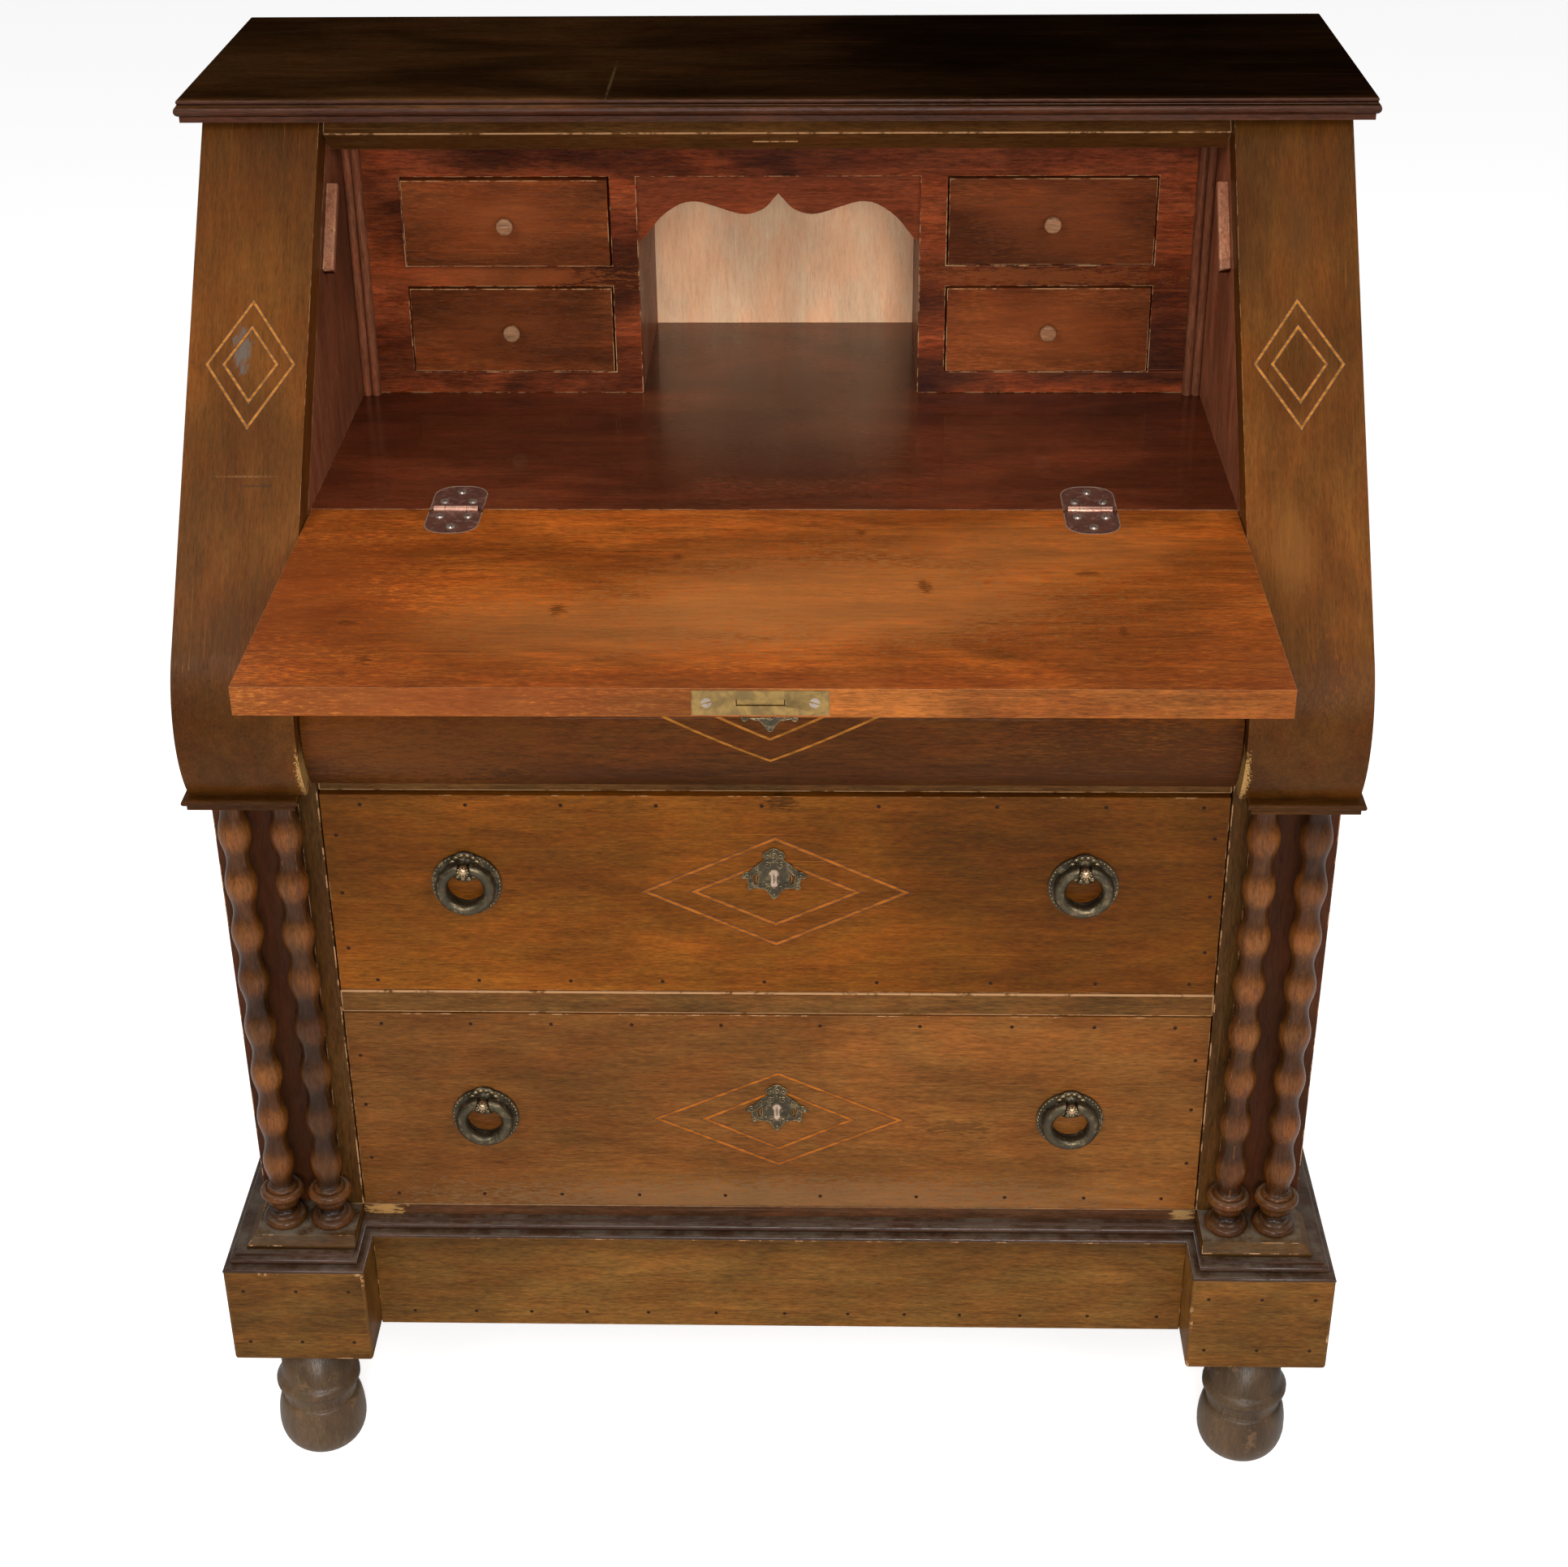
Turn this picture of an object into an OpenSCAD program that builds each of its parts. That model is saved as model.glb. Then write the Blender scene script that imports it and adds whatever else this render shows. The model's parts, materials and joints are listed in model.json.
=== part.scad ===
// Slant-front desk with a fall flap, bobbin-turned columns and a moulded breakfront plinth.
// Millimetres. X is the width, Y runs from front to back, Z is up from the floor.
// The origin is on the floor, at the middle of the footprint with the flap open.

/* [Overall] */
// Height from the floor to the upper face of the top board
overall_h = 1012; // [1000:1:1040]
// Width across the two slanted stiles
case_w = 792; // [760:1:840]
// Depth from the roll of the stiles to the back of the case
case_d = 506; // [480:1:540]
// Height of the writing surface above the floor
writing_h = 770; // [762:1:780]

/* [Slant and roll] */
// Angle of the slant, measured from the vertical
slant = 41; // [38:0.5:45]
// Radius of the roll at the foot of the slant
roll_r = 85; // [76:1:92]
// Height of the foremost point of the roll above the column ledge
roll_drop = 49; // [44:1:54]
// Width of each slanted stile
stile_w = 81; // [76:1:88]
// Thickness of the slanted stiles
stile_t = 24; // [20:1:28]

/* [Boards] */
// Thickness of the top board
top_t = 16; // [14:0.5:20]
// Overhang of the top board at the front and the sides
top_overhang = 16; // [10:1:20]
// Thickness of the side panels
side_t = 18; // [15:1:21]
// Thickness of the inner walls beside the writing compartment
inner_wall_t = 12; // [9:1:15]
// Thickness of the case back
back_t = 8; // [6:1:10]
// Height of the rail under the front edge of the writing bed
bed_rail_h = 22; // [20:1:26]
// Thickness of the bottom board of the case
floor_t = 9; // [8:1:12]
// Height of the front edge of the top rail below the top board
top_rail_drop = 13; // [10:1:16]
// Thickness of the top rail behind its front face
top_rail_t = 24; // [21:1:28]

/* [Flap] */
// Thickness of the flap
flap_t = 19; // [18:1:22]
// Depth of the closed flap and the top drawer behind the faces of the stiles
flap_recess = 12; // [8:1:15]
// Clearance round the flap
flap_gap = 1; // [0.6:0.1:1.5]
// Gap between the open flap and the rail it rests on
flap_rest = 0.3; // [0.1:0.1:1]
// Distance of each hinge from the middle of the desk
hinge_x = 215; // [190:1:235]
// Width of a hinge leaf
leaf_w = 36; // [32:1:40]
// Length of a hinge leaf from the pin
leaf_l = 40; // [36:1:46]
// Thickness of a hinge leaf
leaf_t = 1.6; // [1.4:0.1:2.2]
// Radius of the hinge knuckle
knuckle_r = 3; // [2.8:0.1:3.4]
// Length of the hinge knuckle
knuckle_l = 30; // [27:1:31]
// Radius of the hinge pin
pin_r = 1.3; // [1.1:0.05:1.5]
// Length of the stop strips on the inner walls, along the slant
stop_l = 64; // [50:1:80]

/* [Long drawers] */
// Distance that the two lower drawers reach past the opening, on each side
drawer_extra = 3; // [1:0.5:6]
// Depth of the drawer fronts behind the foremost point of the roll
drawer_set = 60; // [56:1:66]
// Height of the front of the lower drawer
lower_front_h = 177; // [170:1:184]
// Height of the front of the upper drawer
upper_front_h = 164; // [158:1:170]
// Thickness of the drawer fronts
front_t = 20; // [18:1:22]
// Gap round each drawer front
front_gap = 1; // [0.6:0.1:1.6]
// Thickness of the drawer sides and backs
box_t = 10; // [8:1:12]
// Thickness of the drawer bottoms
box_floor_t = 5; // [4:0.5:6]
// Running clearance between a drawer and its runners
run_gap = 0.4; // [0.2:0.1:0.8]
// Height of the rail between the two lower drawers
middle_rail_h = 19; // [17:1:22]
// Height of the rail under the top drawer
upper_rail_h = 24; // [21:1:27]
// Space left behind the closed drawers
back_space = 12; // [8:1:20]

/* [Columns] */
// Distance between the two columns of a pair
column_pitch = 36; // [35:0.5:40]
// Distance of the column axes behind the foremost point of the roll
column_set = 42; // [38:1:43]
// Number of bobbins on a column
bobbins = 8; // [7:1:9]
// Radius of a bobbin at its widest
bobbin_r = 11.7; // [10.5:0.1:12.5]
// Radius of the waist between two bobbins
waist_r = 8.3; // [7.5:0.1:9.5]
// Radius of the base of a column
base_r = 16.5; // [15.5:0.1:17]
// Height of the base of a column
base_h = 32; // [28:1:36]
// Radius of the cap of a column
cap_r = 14; // [13:0.1:15.5]
// Thickness of the ledge on the columns
ledge_t = 9; // [8:0.5:11]

/* [Plinth] */
// Distance that the plinth stands out from the sides of the case
plinth_out = 23; // [18:1:30]
// Width of a plinth block
block_w = 107; // [104:1:110]
// Height of the plinth blocks
block_h = 86; // [78:1:92]
// Distance of the blocks behind the foremost point of the roll
block_set = 3; // [0:1:6]
// Distance of the apron behind the foremost point of the roll
apron_set = 46; // [42:1:50]
// Height of the moulding on the plinth
mould_h = 12; // [11:0.5:14]
// Height of the bevelled slabs under the columns
slab_h = 9; // [8:0.5:9]
// Height of the feet
foot_h = 108; // [98:1:118]
// Radius of the ball of a foot
foot_r = 34; // [30:1:36]

/* [Pull rings and locks] */
// Distance of each pull from the middle of the desk
pull_x = 219; // [190:1:240]
// Outer radius of the pull's backplate
plate_r = 25; // [24:0.5:27]
// Inner radius of the pull's backplate
plate_hole_r = 14; // [13:0.5:15]
// Thickness of the pull's backplate
plate_t = 2.2; // [1.8:0.1:2.6]
// Radius of the centreline of a ring
ring_r = 17.2; // [16.5:0.1:18]
// Radius of the bar of a ring
ring_bar_r = 4.3; // [3.8:0.1:4.6]
// Radius of the pin at the top of a ring
ring_pin_r = 1.6; // [1.4:0.05:1.7]
// Height of the upper drawer's pulls above the lower edge of its front
upper_pull_h = 92; // [86:1:98]
// Height of the lower drawer's pulls above the lower edge of its front
lower_pull_h = 85; // [80:1:96]
// Height of the keyholes above the pulls
key_up = 6; // [0:1:12]
// Travel of a lock bolt
bolt_throw = 7; // [5:0.5:8]
// Thickness of the escutcheon plates
escutcheon_t = 1.6; // [1.2:0.1:2]

/* [Writing compartment] */
// Distance of the pigeonhole front behind the top rail
pigeon_gap = 44; // [30:1:60]
// Width of the open middle cubby
cubby_w = 206; // [190:1:216]
// Width of a small drawer
small_w = 150; // [144:1:152]
// Thickness of the pigeonhole front frame
frame_t = 14; // [12:1:16]
// Width of the frame between the cubby and the small drawers
frame_stile_w = 20; // [18:1:22]
// Thickness of the shelves and dividers
shelf_t = 8; // [6:1:9]
// Thickness of the front of a small drawer
small_front_t = 11; // [9:1:12]
// Thickness of the sides of a small drawer
small_side_t = 6; // [5:0.5:7]
// Distance that the upper left small drawer stands open
ajar = 3; // [0:0.5:5]

/* [Hidden] */
$fn = 64;

// A cut runs this far past the face that it opens
past = 1;
// Clearance of fittings that are let into wood
let_in = 0.2;
// Thickness of the panels behind the columns
panel_t = 12;
// Width and thickness of the stiles beside the drawers
front_stile_w = 15;
front_stile_t = 20;
// Depth of the rails between the drawers, and of the bed rail behind the hinges
rail_deep = 70;
bed_rail_deep = 30;
// Thickness of the plinth boards, and width of the blocks in its rear corners
plinth_t = 18;
rear_block_w = 70;
// Running clearance of a pin in its bore
pin_gap = 0.06;

// Heights, from the floor up
z_mould = foot_h + block_h;
z_case = z_mould + mould_h;
z_slab = z_case + slab_h;
z_floor = z_case + floor_t;
z_lower = z_floor + front_gap;
z_middle = z_lower + lower_front_h + front_gap;
z_upper = z_middle + middle_rail_h + front_gap;
z_upper_rail = z_upper + upper_front_h + front_gap;
z_ledge = z_upper_rail + upper_rail_h;
z_top_drawer = z_ledge + front_gap;
z_bed = writing_h - flap_t - flap_rest;
z_top = overall_h - top_t;
roll_z = z_ledge + roll_drop;
tangent_z = roll_z + roll_r * sin(slant);
rail_edge_z = z_top - top_rail_drop;

// Places along Y, first measured from the foremost point of the roll
hinge_set = roll_r * (1 - cos(slant)) + (writing_h - tangent_z) * tan(slant)
    + (flap_t + flap_recess) / cos(slant);
rail_edge_set = roll_r * (1 - cos(slant)) + (rail_edge_z - tangent_z) * tan(slant)
    + flap_recess / cos(slant);
flap_l = (rail_edge_set - hinge_set) * sin(slant) + (rail_edge_z - writing_h) * cos(slant) - flap_gap;
flap_reach = flap_l - hinge_set;
roll_y = (flap_reach - case_d) / 2;
back_y = roll_y + case_d;
inside_y = back_y - back_t;
hinge_y = roll_y + hinge_set;
drawer_y = roll_y + drawer_set;
panel_y = drawer_y + 4;
block_y = roll_y + block_set;
apron_y = roll_y + apron_set;
column_y = roll_y + column_set;
pigeon_y = slant_y(rail_edge_z, flap_recess) + top_rail_t * cos(slant) + pigeon_gap;
carcass_y = panel_y + panel_t;
box_end_y = inside_y - back_space;

// Half widths
case_x = case_w / 2;
open_x = case_x - stile_w;
side_x = case_x - side_t;
drawer_x = open_x + drawer_extra;
stile_x = drawer_x + front_gap;
base_x = case_x + plinth_out;
block_x = base_x - block_w;
outer_x = (stile_x + case_x + column_pitch) / 2;
inner_x = outer_x - column_pitch;

// Height of the front of the top drawer
top_front_h = z_bed - bed_rail_h - front_gap - z_top_drawer;

function slant_y(z, off = 0) =
    roll_y + roll_r * (1 - cos(slant)) + (z - tangent_z) * tan(slant) + off / cos(slant);
function roll_angle(z, off) = asin((z - roll_z) / (roll_r - off));
function arc(cx, cy, r, a0, a1, n) =
    [for (i = [0 : n]) let (a = a0 + (a1 - a0) * i / n) [cx + r * cos(a), cy + r * sin(a)]];

module along_x(x0, x1) {
    translate([x0, 0, 0]) rotate([90, 0, 90]) linear_extrude(x1 - x0) children();
}

module along_y(y0, y1) {
    translate([0, y1, 0]) rotate([90, 0, 0]) linear_extrude(y1 - y0) children();
}

module block(x0, x1, y0, y1, z0, z1) {
    translate([x0, y0, z0]) cube([x1 - x0, y1 - y0, z1 - z0]);
}

module both_sides() {
    children();
    mirror([1, 0, 0]) children();
}

// Slab with a half-round edge at the front and on both sides, mitred at the front corners
module bead_slab(x0, x1, y0, y1, z0, h) {
    r = h / 2;
    intersection() {
        along_x(x0, x1) {
            translate([y0 + r, z0 + r]) circle(r);
            translate([y0 + r, z0]) square([y1 - y0 - r, h]);
        }
        along_y(y0, y1) {
            translate([x0 + r, z0 + r]) circle(r);
            translate([x1 - r, z0 + r]) circle(r);
            translate([x0 + r, z0]) square([x1 - x0 - h, h]);
        }
    }
}

// Everything behind the slant and the roll, set back by off, from x0 to x1 and from z0 to z1
module behind_slant(off, x0, x1, z0, z1) {
    join_z = roll_z + (roll_r - off) * sin(slant);
    far = roll_y + roll_r;
    union() {
        intersection() {
            translate([x0, far, roll_z]) rotate([0, 90, 0]) cylinder(r = roll_r - off, h = x1 - x0, $fn = 180);
            block(x0 - past, x1 + past, roll_y - past, far + roll_r, z0, z1);
        }
        along_x(x0, x1) polygon([
            [slant_y(join_z, off), join_z],
            [slant_y(z1, off), z1],
            [back_y, z1],
            [back_y, roll_z],
            [far, roll_z]
        ]);
    }
}

// Line on which the backs of the stiles end and the side panels and inner walls begin
function stile_back_z() = tangent_z
    + (carcass_y - roll_y - roll_r * (1 - cos(slant)) - stile_t / cos(slant)) / tan(slant);

module carcass_section(z0) {
    polygon([
        [carcass_y, z0],
        [carcass_y, stile_back_z()],
        [slant_y(z_top, stile_t), z_top],
        [back_y, z_top],
        [back_y, z0]
    ]);
}

module top_board() {
    x = case_x + top_overhang;
    y = slant_y(z_top) - top_overhang;
    bead = top_t * 0.5;
    lip = top_t * 0.25;
    color("#2b1a10") union() {
        bead_slab(-x, x, y, back_y, z_top + lip, bead);
        block(-x + 3, x - 3, y + 3, back_y, z_top, z_top + lip);
        block(-x + 2, x - 2, y + 2, back_y, z_top + lip + bead / 2, z_top + lip + bead);
        bead_slab(-x + 2, x - 2, y + 2, back_y, z_top + lip + bead, lip);
    }
}

module top_rail() {
    drop = top_rail_t * sin(slant);
    run = top_rail_t * cos(slant);
    edge_y = slant_y(rail_edge_z, flap_recess);
    bolt_mid = flap_t / 2;
    color("#5f3820") difference() {
        along_x(-open_x, open_x) polygon([
            [edge_y, rail_edge_z],
            [slant_y(z_top, flap_recess), z_top],
            [edge_y + run, z_top],
            [edge_y + run, rail_edge_z - drop]
        ]);
        translate([0, edge_y, rail_edge_z]) rotate([-slant, 0, 0])
            block(-flap_bolt_w / 2 - 2, flap_bolt_w / 2 + 2, bolt_mid - 4, bolt_mid + 4, -past, bolt_throw + 2);
    }
}

module side_panel() {
    color("#4d2f1a") along_x(side_x, case_x) carcass_section(z_case);
}

module left_side_panel() { mirror([1, 0, 0]) side_panel(); }

module right_side_panel() { side_panel(); }

module slant_stile() {
    color("#5a3a20") difference() {
        behind_slant(0, open_x, case_x, z_ledge, z_top);
        along_x(open_x - past, case_x + past) polygon([
            [slant_y(z_top, stile_t) + past * tan(slant), z_top + past],
            [carcass_y, stile_back_z()],
            [carcass_y, z_ledge - past],
            [back_y + past, z_ledge - past],
            [back_y + past, z_top + past]
        ]);
    }
}

module left_slant_stile() { mirror([1, 0, 0]) slant_stile(); }

module right_slant_stile() { slant_stile(); }

module inner_walls() {
    color("#46241a") both_sides() along_x(open_x, open_x + inner_wall_t) difference() {
        carcass_section(z_ledge);
        translate([inside_y, z_ledge - past]) square([back_t + past, z_top]);
    }
}

module flap_stops() {
    thick = 8;
    mid_z = writing_h + 0.73 * (rail_edge_z - writing_h);
    mid_y = slant_y(mid_z, flap_recess + flap_t) + 0.4 / cos(slant);
    color("#7a4630") both_sides() translate([open_x, mid_y, mid_z]) rotate([-slant, 0, 0])
        block(-thick, 0, 0, thick, -stop_l / 2, stop_l / 2);
}

module case_back() {
    color("#a87848") block(-side_x, side_x, inside_y, back_y, z_case, z_top);
}

module writing_bed() {
    color("#4f2114") difference() {
        block(-open_x, open_x, hinge_y + 0.4, inside_y, z_bed, writing_h);
        both_sides() leaf_pocket(1);
    }
}

// Rail over the top drawer. Its front follows the slant, and the open flap rests on it.
module bed_rail() {
    z0 = z_bed - bed_rail_h;
    color("#553019") difference() {
        along_x(-open_x, open_x) polygon([
            [slant_y(z0, flap_recess), z0],
            [slant_y(z_bed, flap_recess), z_bed],
            [hinge_y + bed_rail_deep, z_bed],
            [hinge_y + bed_rail_deep, z0]
        ]);
        bolt_mortise(top_bolt_y, z0);
    }
}

module column_ledges() {
    x0 = stile_x + 1.5;
    x1 = case_x + 4;
    y0 = roll_y + 7;
    bead = ledge_t * 0.6;
    color("#6b4020") both_sides() union() {
        bead_slab(x0, x1, y0, panel_y, z_ledge - bead, bead);
        block(x0 + 3, x1 - 3, y0 + 3, panel_y, z_ledge - ledge_t, z_ledge - bead / 2);
    }
}

module column_panels() {
    color("#3d1c12") both_sides()
        block(stile_x + front_stile_w, case_x, panel_y, carcass_y, z_case, z_ledge);
}

// Stiles beside the drawers, cut away where the slabs and the ledges of the columns run in
module front_stiles() {
    color("#4e2e18") both_sides() difference() {
        block(stile_x, stile_x + front_stile_w, drawer_y, drawer_y + front_stile_t, z_case, z_ledge);
        for (z = [[z_case - past, z_slab], [z_ledge - ledge_t, z_ledge + past]])
            block(stile_x - past, case_x, drawer_y - past, panel_y, z[0], z[1]);
    }
}

// Turned column: base with two rings and a hollow between them, bobbins, neck and cap
function bobbin_profile(z0, z1) = [
    for (i = [0 : bobbins * 12])
        let (t = i / 12, wave = (1 - cos(360 * t)) / 2)
        [waist_r + (bobbin_r - waist_r) * wave, z0 + (z1 - z0) * i / (bobbins * 12)]
];

module column(x) {
    ring = base_h * 0.24;
    cap = 8;
    neck = 8;
    z0 = z_slab;
    z1 = z_ledge - ledge_t;
    hollow_r = base_h * 0.13;
    shoulder = base_r - ring / 2 - waist_r - 1;
    color("#5e3519") translate([x, column_y, 0]) rotate_extrude() polygon(concat(
        [[0, z0]],
        arc(base_r - ring / 2, z0 + ring / 2, ring / 2, -90, 90, 8),
        [[base_r - ring / 2 - 1, z0 + ring], [base_r - ring / 2 - 1, z0 + ring + 1.5]],
        arc(base_r - ring / 2 - 1, z0 + ring + 1.5 + hollow_r, hollow_r, 270, 90, 8),
        arc(base_r - ring / 2, z0 + base_h - ring / 2, ring / 2, -90, 90, 8),
        arc(waist_r, z0 + base_h - 1, shoulder, 0, 75, 8),
        bobbin_profile(z0 + base_h + shoulder, z1 - cap - neck),
        [[waist_r + 0.5, z1 - cap - neck / 2], [waist_r + 1, z1 - cap]],
        arc(cap_r - 3, z1 - 3, 3, -70, 0, 5),
        [[cap_r, z1], [0, z1]]
    ));
}

module left_outer_column() { column(-outer_x); }

module left_inner_column() { column(-inner_x); }

module right_inner_column() { column(inner_x); }

module right_outer_column() { column(outer_x); }

module bolt_mortise(y, z) {
    block(-lock_bolt_w / 2 - 2, lock_bolt_w / 2 + 2, y - 4, y + 4, z - past, z + bolt_throw + 1);
}

module drawer_rails() {
    color("#4a2a17") difference() {
        union() {
            block(-stile_x, stile_x, drawer_y, drawer_y + rail_deep, z_middle, z_middle + middle_rail_h);
            block(-stile_x, stile_x, panel_y, panel_y + rail_deep, z_upper_rail, z_ledge);
        }
        bolt_mortise(drawer_bolt_y, z_middle);
        bolt_mortise(drawer_bolt_y, z_upper_rail);
    }
}

module bottom_board() {
    color("#4a2a17") union() {
        block(-stile_x, stile_x, drawer_y, drawer_y + front_stile_t, z_case, z_floor);
        block(-side_x, side_x, drawer_y + front_stile_t, inside_y, z_case, z_floor);
    }
}

// Runners beside the drawer boxes, each with a guide strip on its outer edge
module drawer_runners() {
    reach = 30;
    guide_h = 16;
    color("#8a6238") both_sides() {
        block(drawer_x - reach, side_x, drawer_y + rail_deep, inside_y, z_middle, z_middle + middle_rail_h);
        block(drawer_x - reach, side_x, panel_y + rail_deep, inside_y, z_upper_rail, z_ledge);
        block(stile_x, stile_x + front_stile_w, drawer_y + rail_deep, inside_y, z_middle + middle_rail_h,
            z_middle + middle_rail_h + guide_h);
        block(stile_x, stile_x + front_stile_w, carcass_y + 10, inside_y, z_floor, z_floor + guide_h);
    }
}

module plinth_blocks() {
    color("#6a4522") both_sides()
        block(block_x, base_x, block_y, carcass_y, foot_h, z_mould);
}

// Side and back boards of the plinth, with the rear blocks that the rear feet are let into
module plinth_boards() {
    color("#5c3a1e") {
        both_sides() block(base_x - plinth_t, base_x, carcass_y, back_y, foot_h, z_mould);
        block(plinth_t - base_x, base_x - plinth_t, back_y - plinth_t, back_y, foot_h, z_mould);
        both_sides() block(base_x - plinth_t - rear_block_w, base_x - plinth_t,
            back_y - plinth_t - rear_block_w, back_y - plinth_t, foot_h, z_mould);
    }
}

module plinth_apron() {
    color("#70431f") block(-block_x, block_x, apron_y, apron_y + plinth_t, foot_h, z_mould);
}

// One length of the plinth moulding over a rectangle: rounded shoulder, bead and fillet
module mould_slab(x0, x1, y0) {
    shoulder = mould_h * 0.25;
    bead = mould_h * 0.55;
    intersection() {
        bead_slab(x0, x1, y0, back_y, z_mould - shoulder, 2 * shoulder);
        block(x0, x1, y0, back_y, z_mould, z_mould + shoulder);
    }
    bead_slab(x0 + 5, x1 - 5, y0 + 5, back_y, z_mould + shoulder, bead);
    block(x0 + 9, x1 - 9, y0 + 9, back_y, z_mould + shoulder, z_case);
}

module plinth_moulding() {
    band = 24;
    color("#38201a") difference() {
        union() {
            mould_slab(-base_x, -block_x, block_y);
            mould_slab(block_x, base_x, block_y);
            mould_slab(-base_x, base_x, apron_y);
        }
        block(-side_x, side_x, carcass_y + band, back_y + past, z_mould - past, z_case + past);
        block(-base_x - past, base_x + past, back_y, back_y + 2 * past, z_mould - past, z_case + past);
    }
}

module column_slabs() {
    bevel = slab_h * 0.6;
    x0 = stile_x + 1;
    x1 = outer_x + base_r + 3;
    y0 = column_y - base_r - 3;
    sweep = slab_h * 0.7;
    color("#54301b") both_sides() intersection() {
        along_x(x0 - sweep, x1 + sweep) polygon([
            [y0 - sweep, z_case],
            [y0 - sweep, z_slab - bevel],
            [y0, z_slab],
            [panel_y, z_slab],
            [panel_y, z_case]
        ]);
        along_y(y0 - sweep, panel_y) polygon([
            [x0 - 1, z_case],
            [x0 - 1, z_slab - bevel],
            [x0, z_slab],
            [x1, z_slab],
            [x1 + sweep, z_slab - bevel],
            [x1 + sweep, z_case]
        ]);
    }
}

// Foot: flat sole, bun with its widest part low down, waist, and a flared collar under the block
module ball_foot() {
    sole_r = foot_r * 0.62;
    bun_z = foot_h * 0.21;
    waist_z = foot_h * 0.43;
    foot_waist_r = foot_r * 0.84;
    collar_z = foot_h * 0.56;
    collar_r = foot_r * 0.96;
    neck_r = foot_r * 0.8;
    steps = 12;
    color("#4a3222") rotate_extrude() polygon(concat(
        [[0, 0]],
        [for (i = [0 : steps]) let (a = 90 * i / steps)
            [sole_r + (foot_r - sole_r) * sin(a), bun_z * (1 - cos(a))]],
        [for (i = [1 : steps]) let (a = 90 * i / steps)
            [foot_waist_r + (foot_r - foot_waist_r) * cos(a), bun_z + (waist_z - bun_z) * sin(a)]],
        [for (i = [1 : steps]) let (a = 90 * i / steps)
            [foot_waist_r + (collar_r - foot_waist_r) * (1 - cos(a)), waist_z + (collar_z - waist_z) * sin(a)]],
        [[collar_r, collar_z + 3], [neck_r, collar_z + 9], [neck_r, foot_h], [0, foot_h]]
    ));
}

module ball_feet() {
    x = base_x - block_w / 2;
    front_y = (block_y + carcass_y) / 2;
    rear_y = back_y - plinth_t - rear_block_w / 2;
    rear_x = base_x - plinth_t - rear_block_w / 2;
    both_sides() {
        translate([x, front_y, 0]) ball_foot();
        translate([rear_x, rear_y, 0]) ball_foot();
    }
}

// Pigeonholes: heights as shares of the height of the compartment, and places shared by
// the frame, the boards and the small drawers
compartment_h = z_top - writing_h;
small_h = compartment_h * 0.283;
frame_foot_h = compartment_h * 0.075;
frame_rail_h = compartment_h * 0.071;
valance_h = compartment_h * 0.221;
cubby_x = cubby_w / 2;
small_x0 = cubby_x + frame_stile_w + front_gap;
small_x1 = small_x0 + small_w;
z_small_low = writing_h + frame_foot_h + front_gap;
z_small_high = z_small_low + small_h + frame_rail_h + 2 * front_gap;
z_small_top = z_small_high + small_h + front_gap;
bead_strip_w = 13;
boards_y = pigeon_y + frame_t;

module pigeonhole_frame() {
    color("#5b2413") along_y(pigeon_y, pigeon_y + frame_t) difference() {
        translate([-open_x, writing_h]) square([2 * open_x, z_top - writing_h]);
        translate([-cubby_x, writing_h - past]) square([cubby_w, z_small_top - writing_h + past]);
        for (side = [-1, 1], z = [z_small_low, z_small_high])
            translate([side * (small_x0 + small_w / 2) - small_w / 2 - front_gap, z - front_gap])
                square([small_w + 2 * front_gap, small_h + 2 * front_gap]);
    }
}

module pigeonhole_boards() {
    inner = cubby_x;
    outer = small_x1 + front_gap;
    color("#4a2014") both_sides() {
        block(inner, inner + shelf_t, boards_y, inside_y, writing_h, z_top);
        block(outer, outer + shelf_t, boards_y, inside_y, writing_h, z_top);
        for (z = [z_small_low - front_gap, z_small_high - front_gap])
            block(inner + shelf_t, outer, boards_y, inside_y, z - shelf_t, z);
        block(inner + shelf_t, outer, boards_y, inside_y, z_small_top, z_small_top + shelf_t);
    }
}

// Lower edge of the valance from its middle to its right end, as a share of half width and of height
scallop = [[0, 0.74], [0.035, 0.66], [0.1, 0.52], [0.2, 0.44], [0.3, 0.45], [0.45, 0.55],
    [0.58, 0.62], [0.7, 0.58], [0.84, 0.38], [0.94, 0.12], [1, 0]];

module cubby_valance() {
    thick = 8;
    recess = 3;
    z = z_small_top - valance_h;
    right = [for (p = scallop) [p[0] * cubby_x, z + p[1] * valance_h]];
    left = [for (i = [len(right) - 1 : -1 : 0]) [-right[i][0], right[i][1]]];
    color("#642a16") along_y(pigeon_y + recess, pigeon_y + recess + thick)
        polygon(concat(left, right, [[cubby_x, z_small_top], [-cubby_x, z_small_top]]));
}

module pilaster_beads() {
    bead_r = bead_strip_w / 4;
    color("#3d1a10") both_sides() union() {
        block(open_x - bead_strip_w, open_x, pigeon_y - bead_r, pigeon_y, writing_h, z_top);
        for (x = [open_x - bead_strip_w + bead_r, open_x - bead_r])
            translate([x, pigeon_y - bead_r, writing_h]) cylinder(r = bead_r - 0.05, h = z_top - writing_h);
    }
}

// Hinges. Both leaves lie flush in the wood on the pin's level, and the knuckle stands half above it.
outer_knuckle_l = knuckle_l * 0.25;
knuckle_gap = 0.3;

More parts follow.
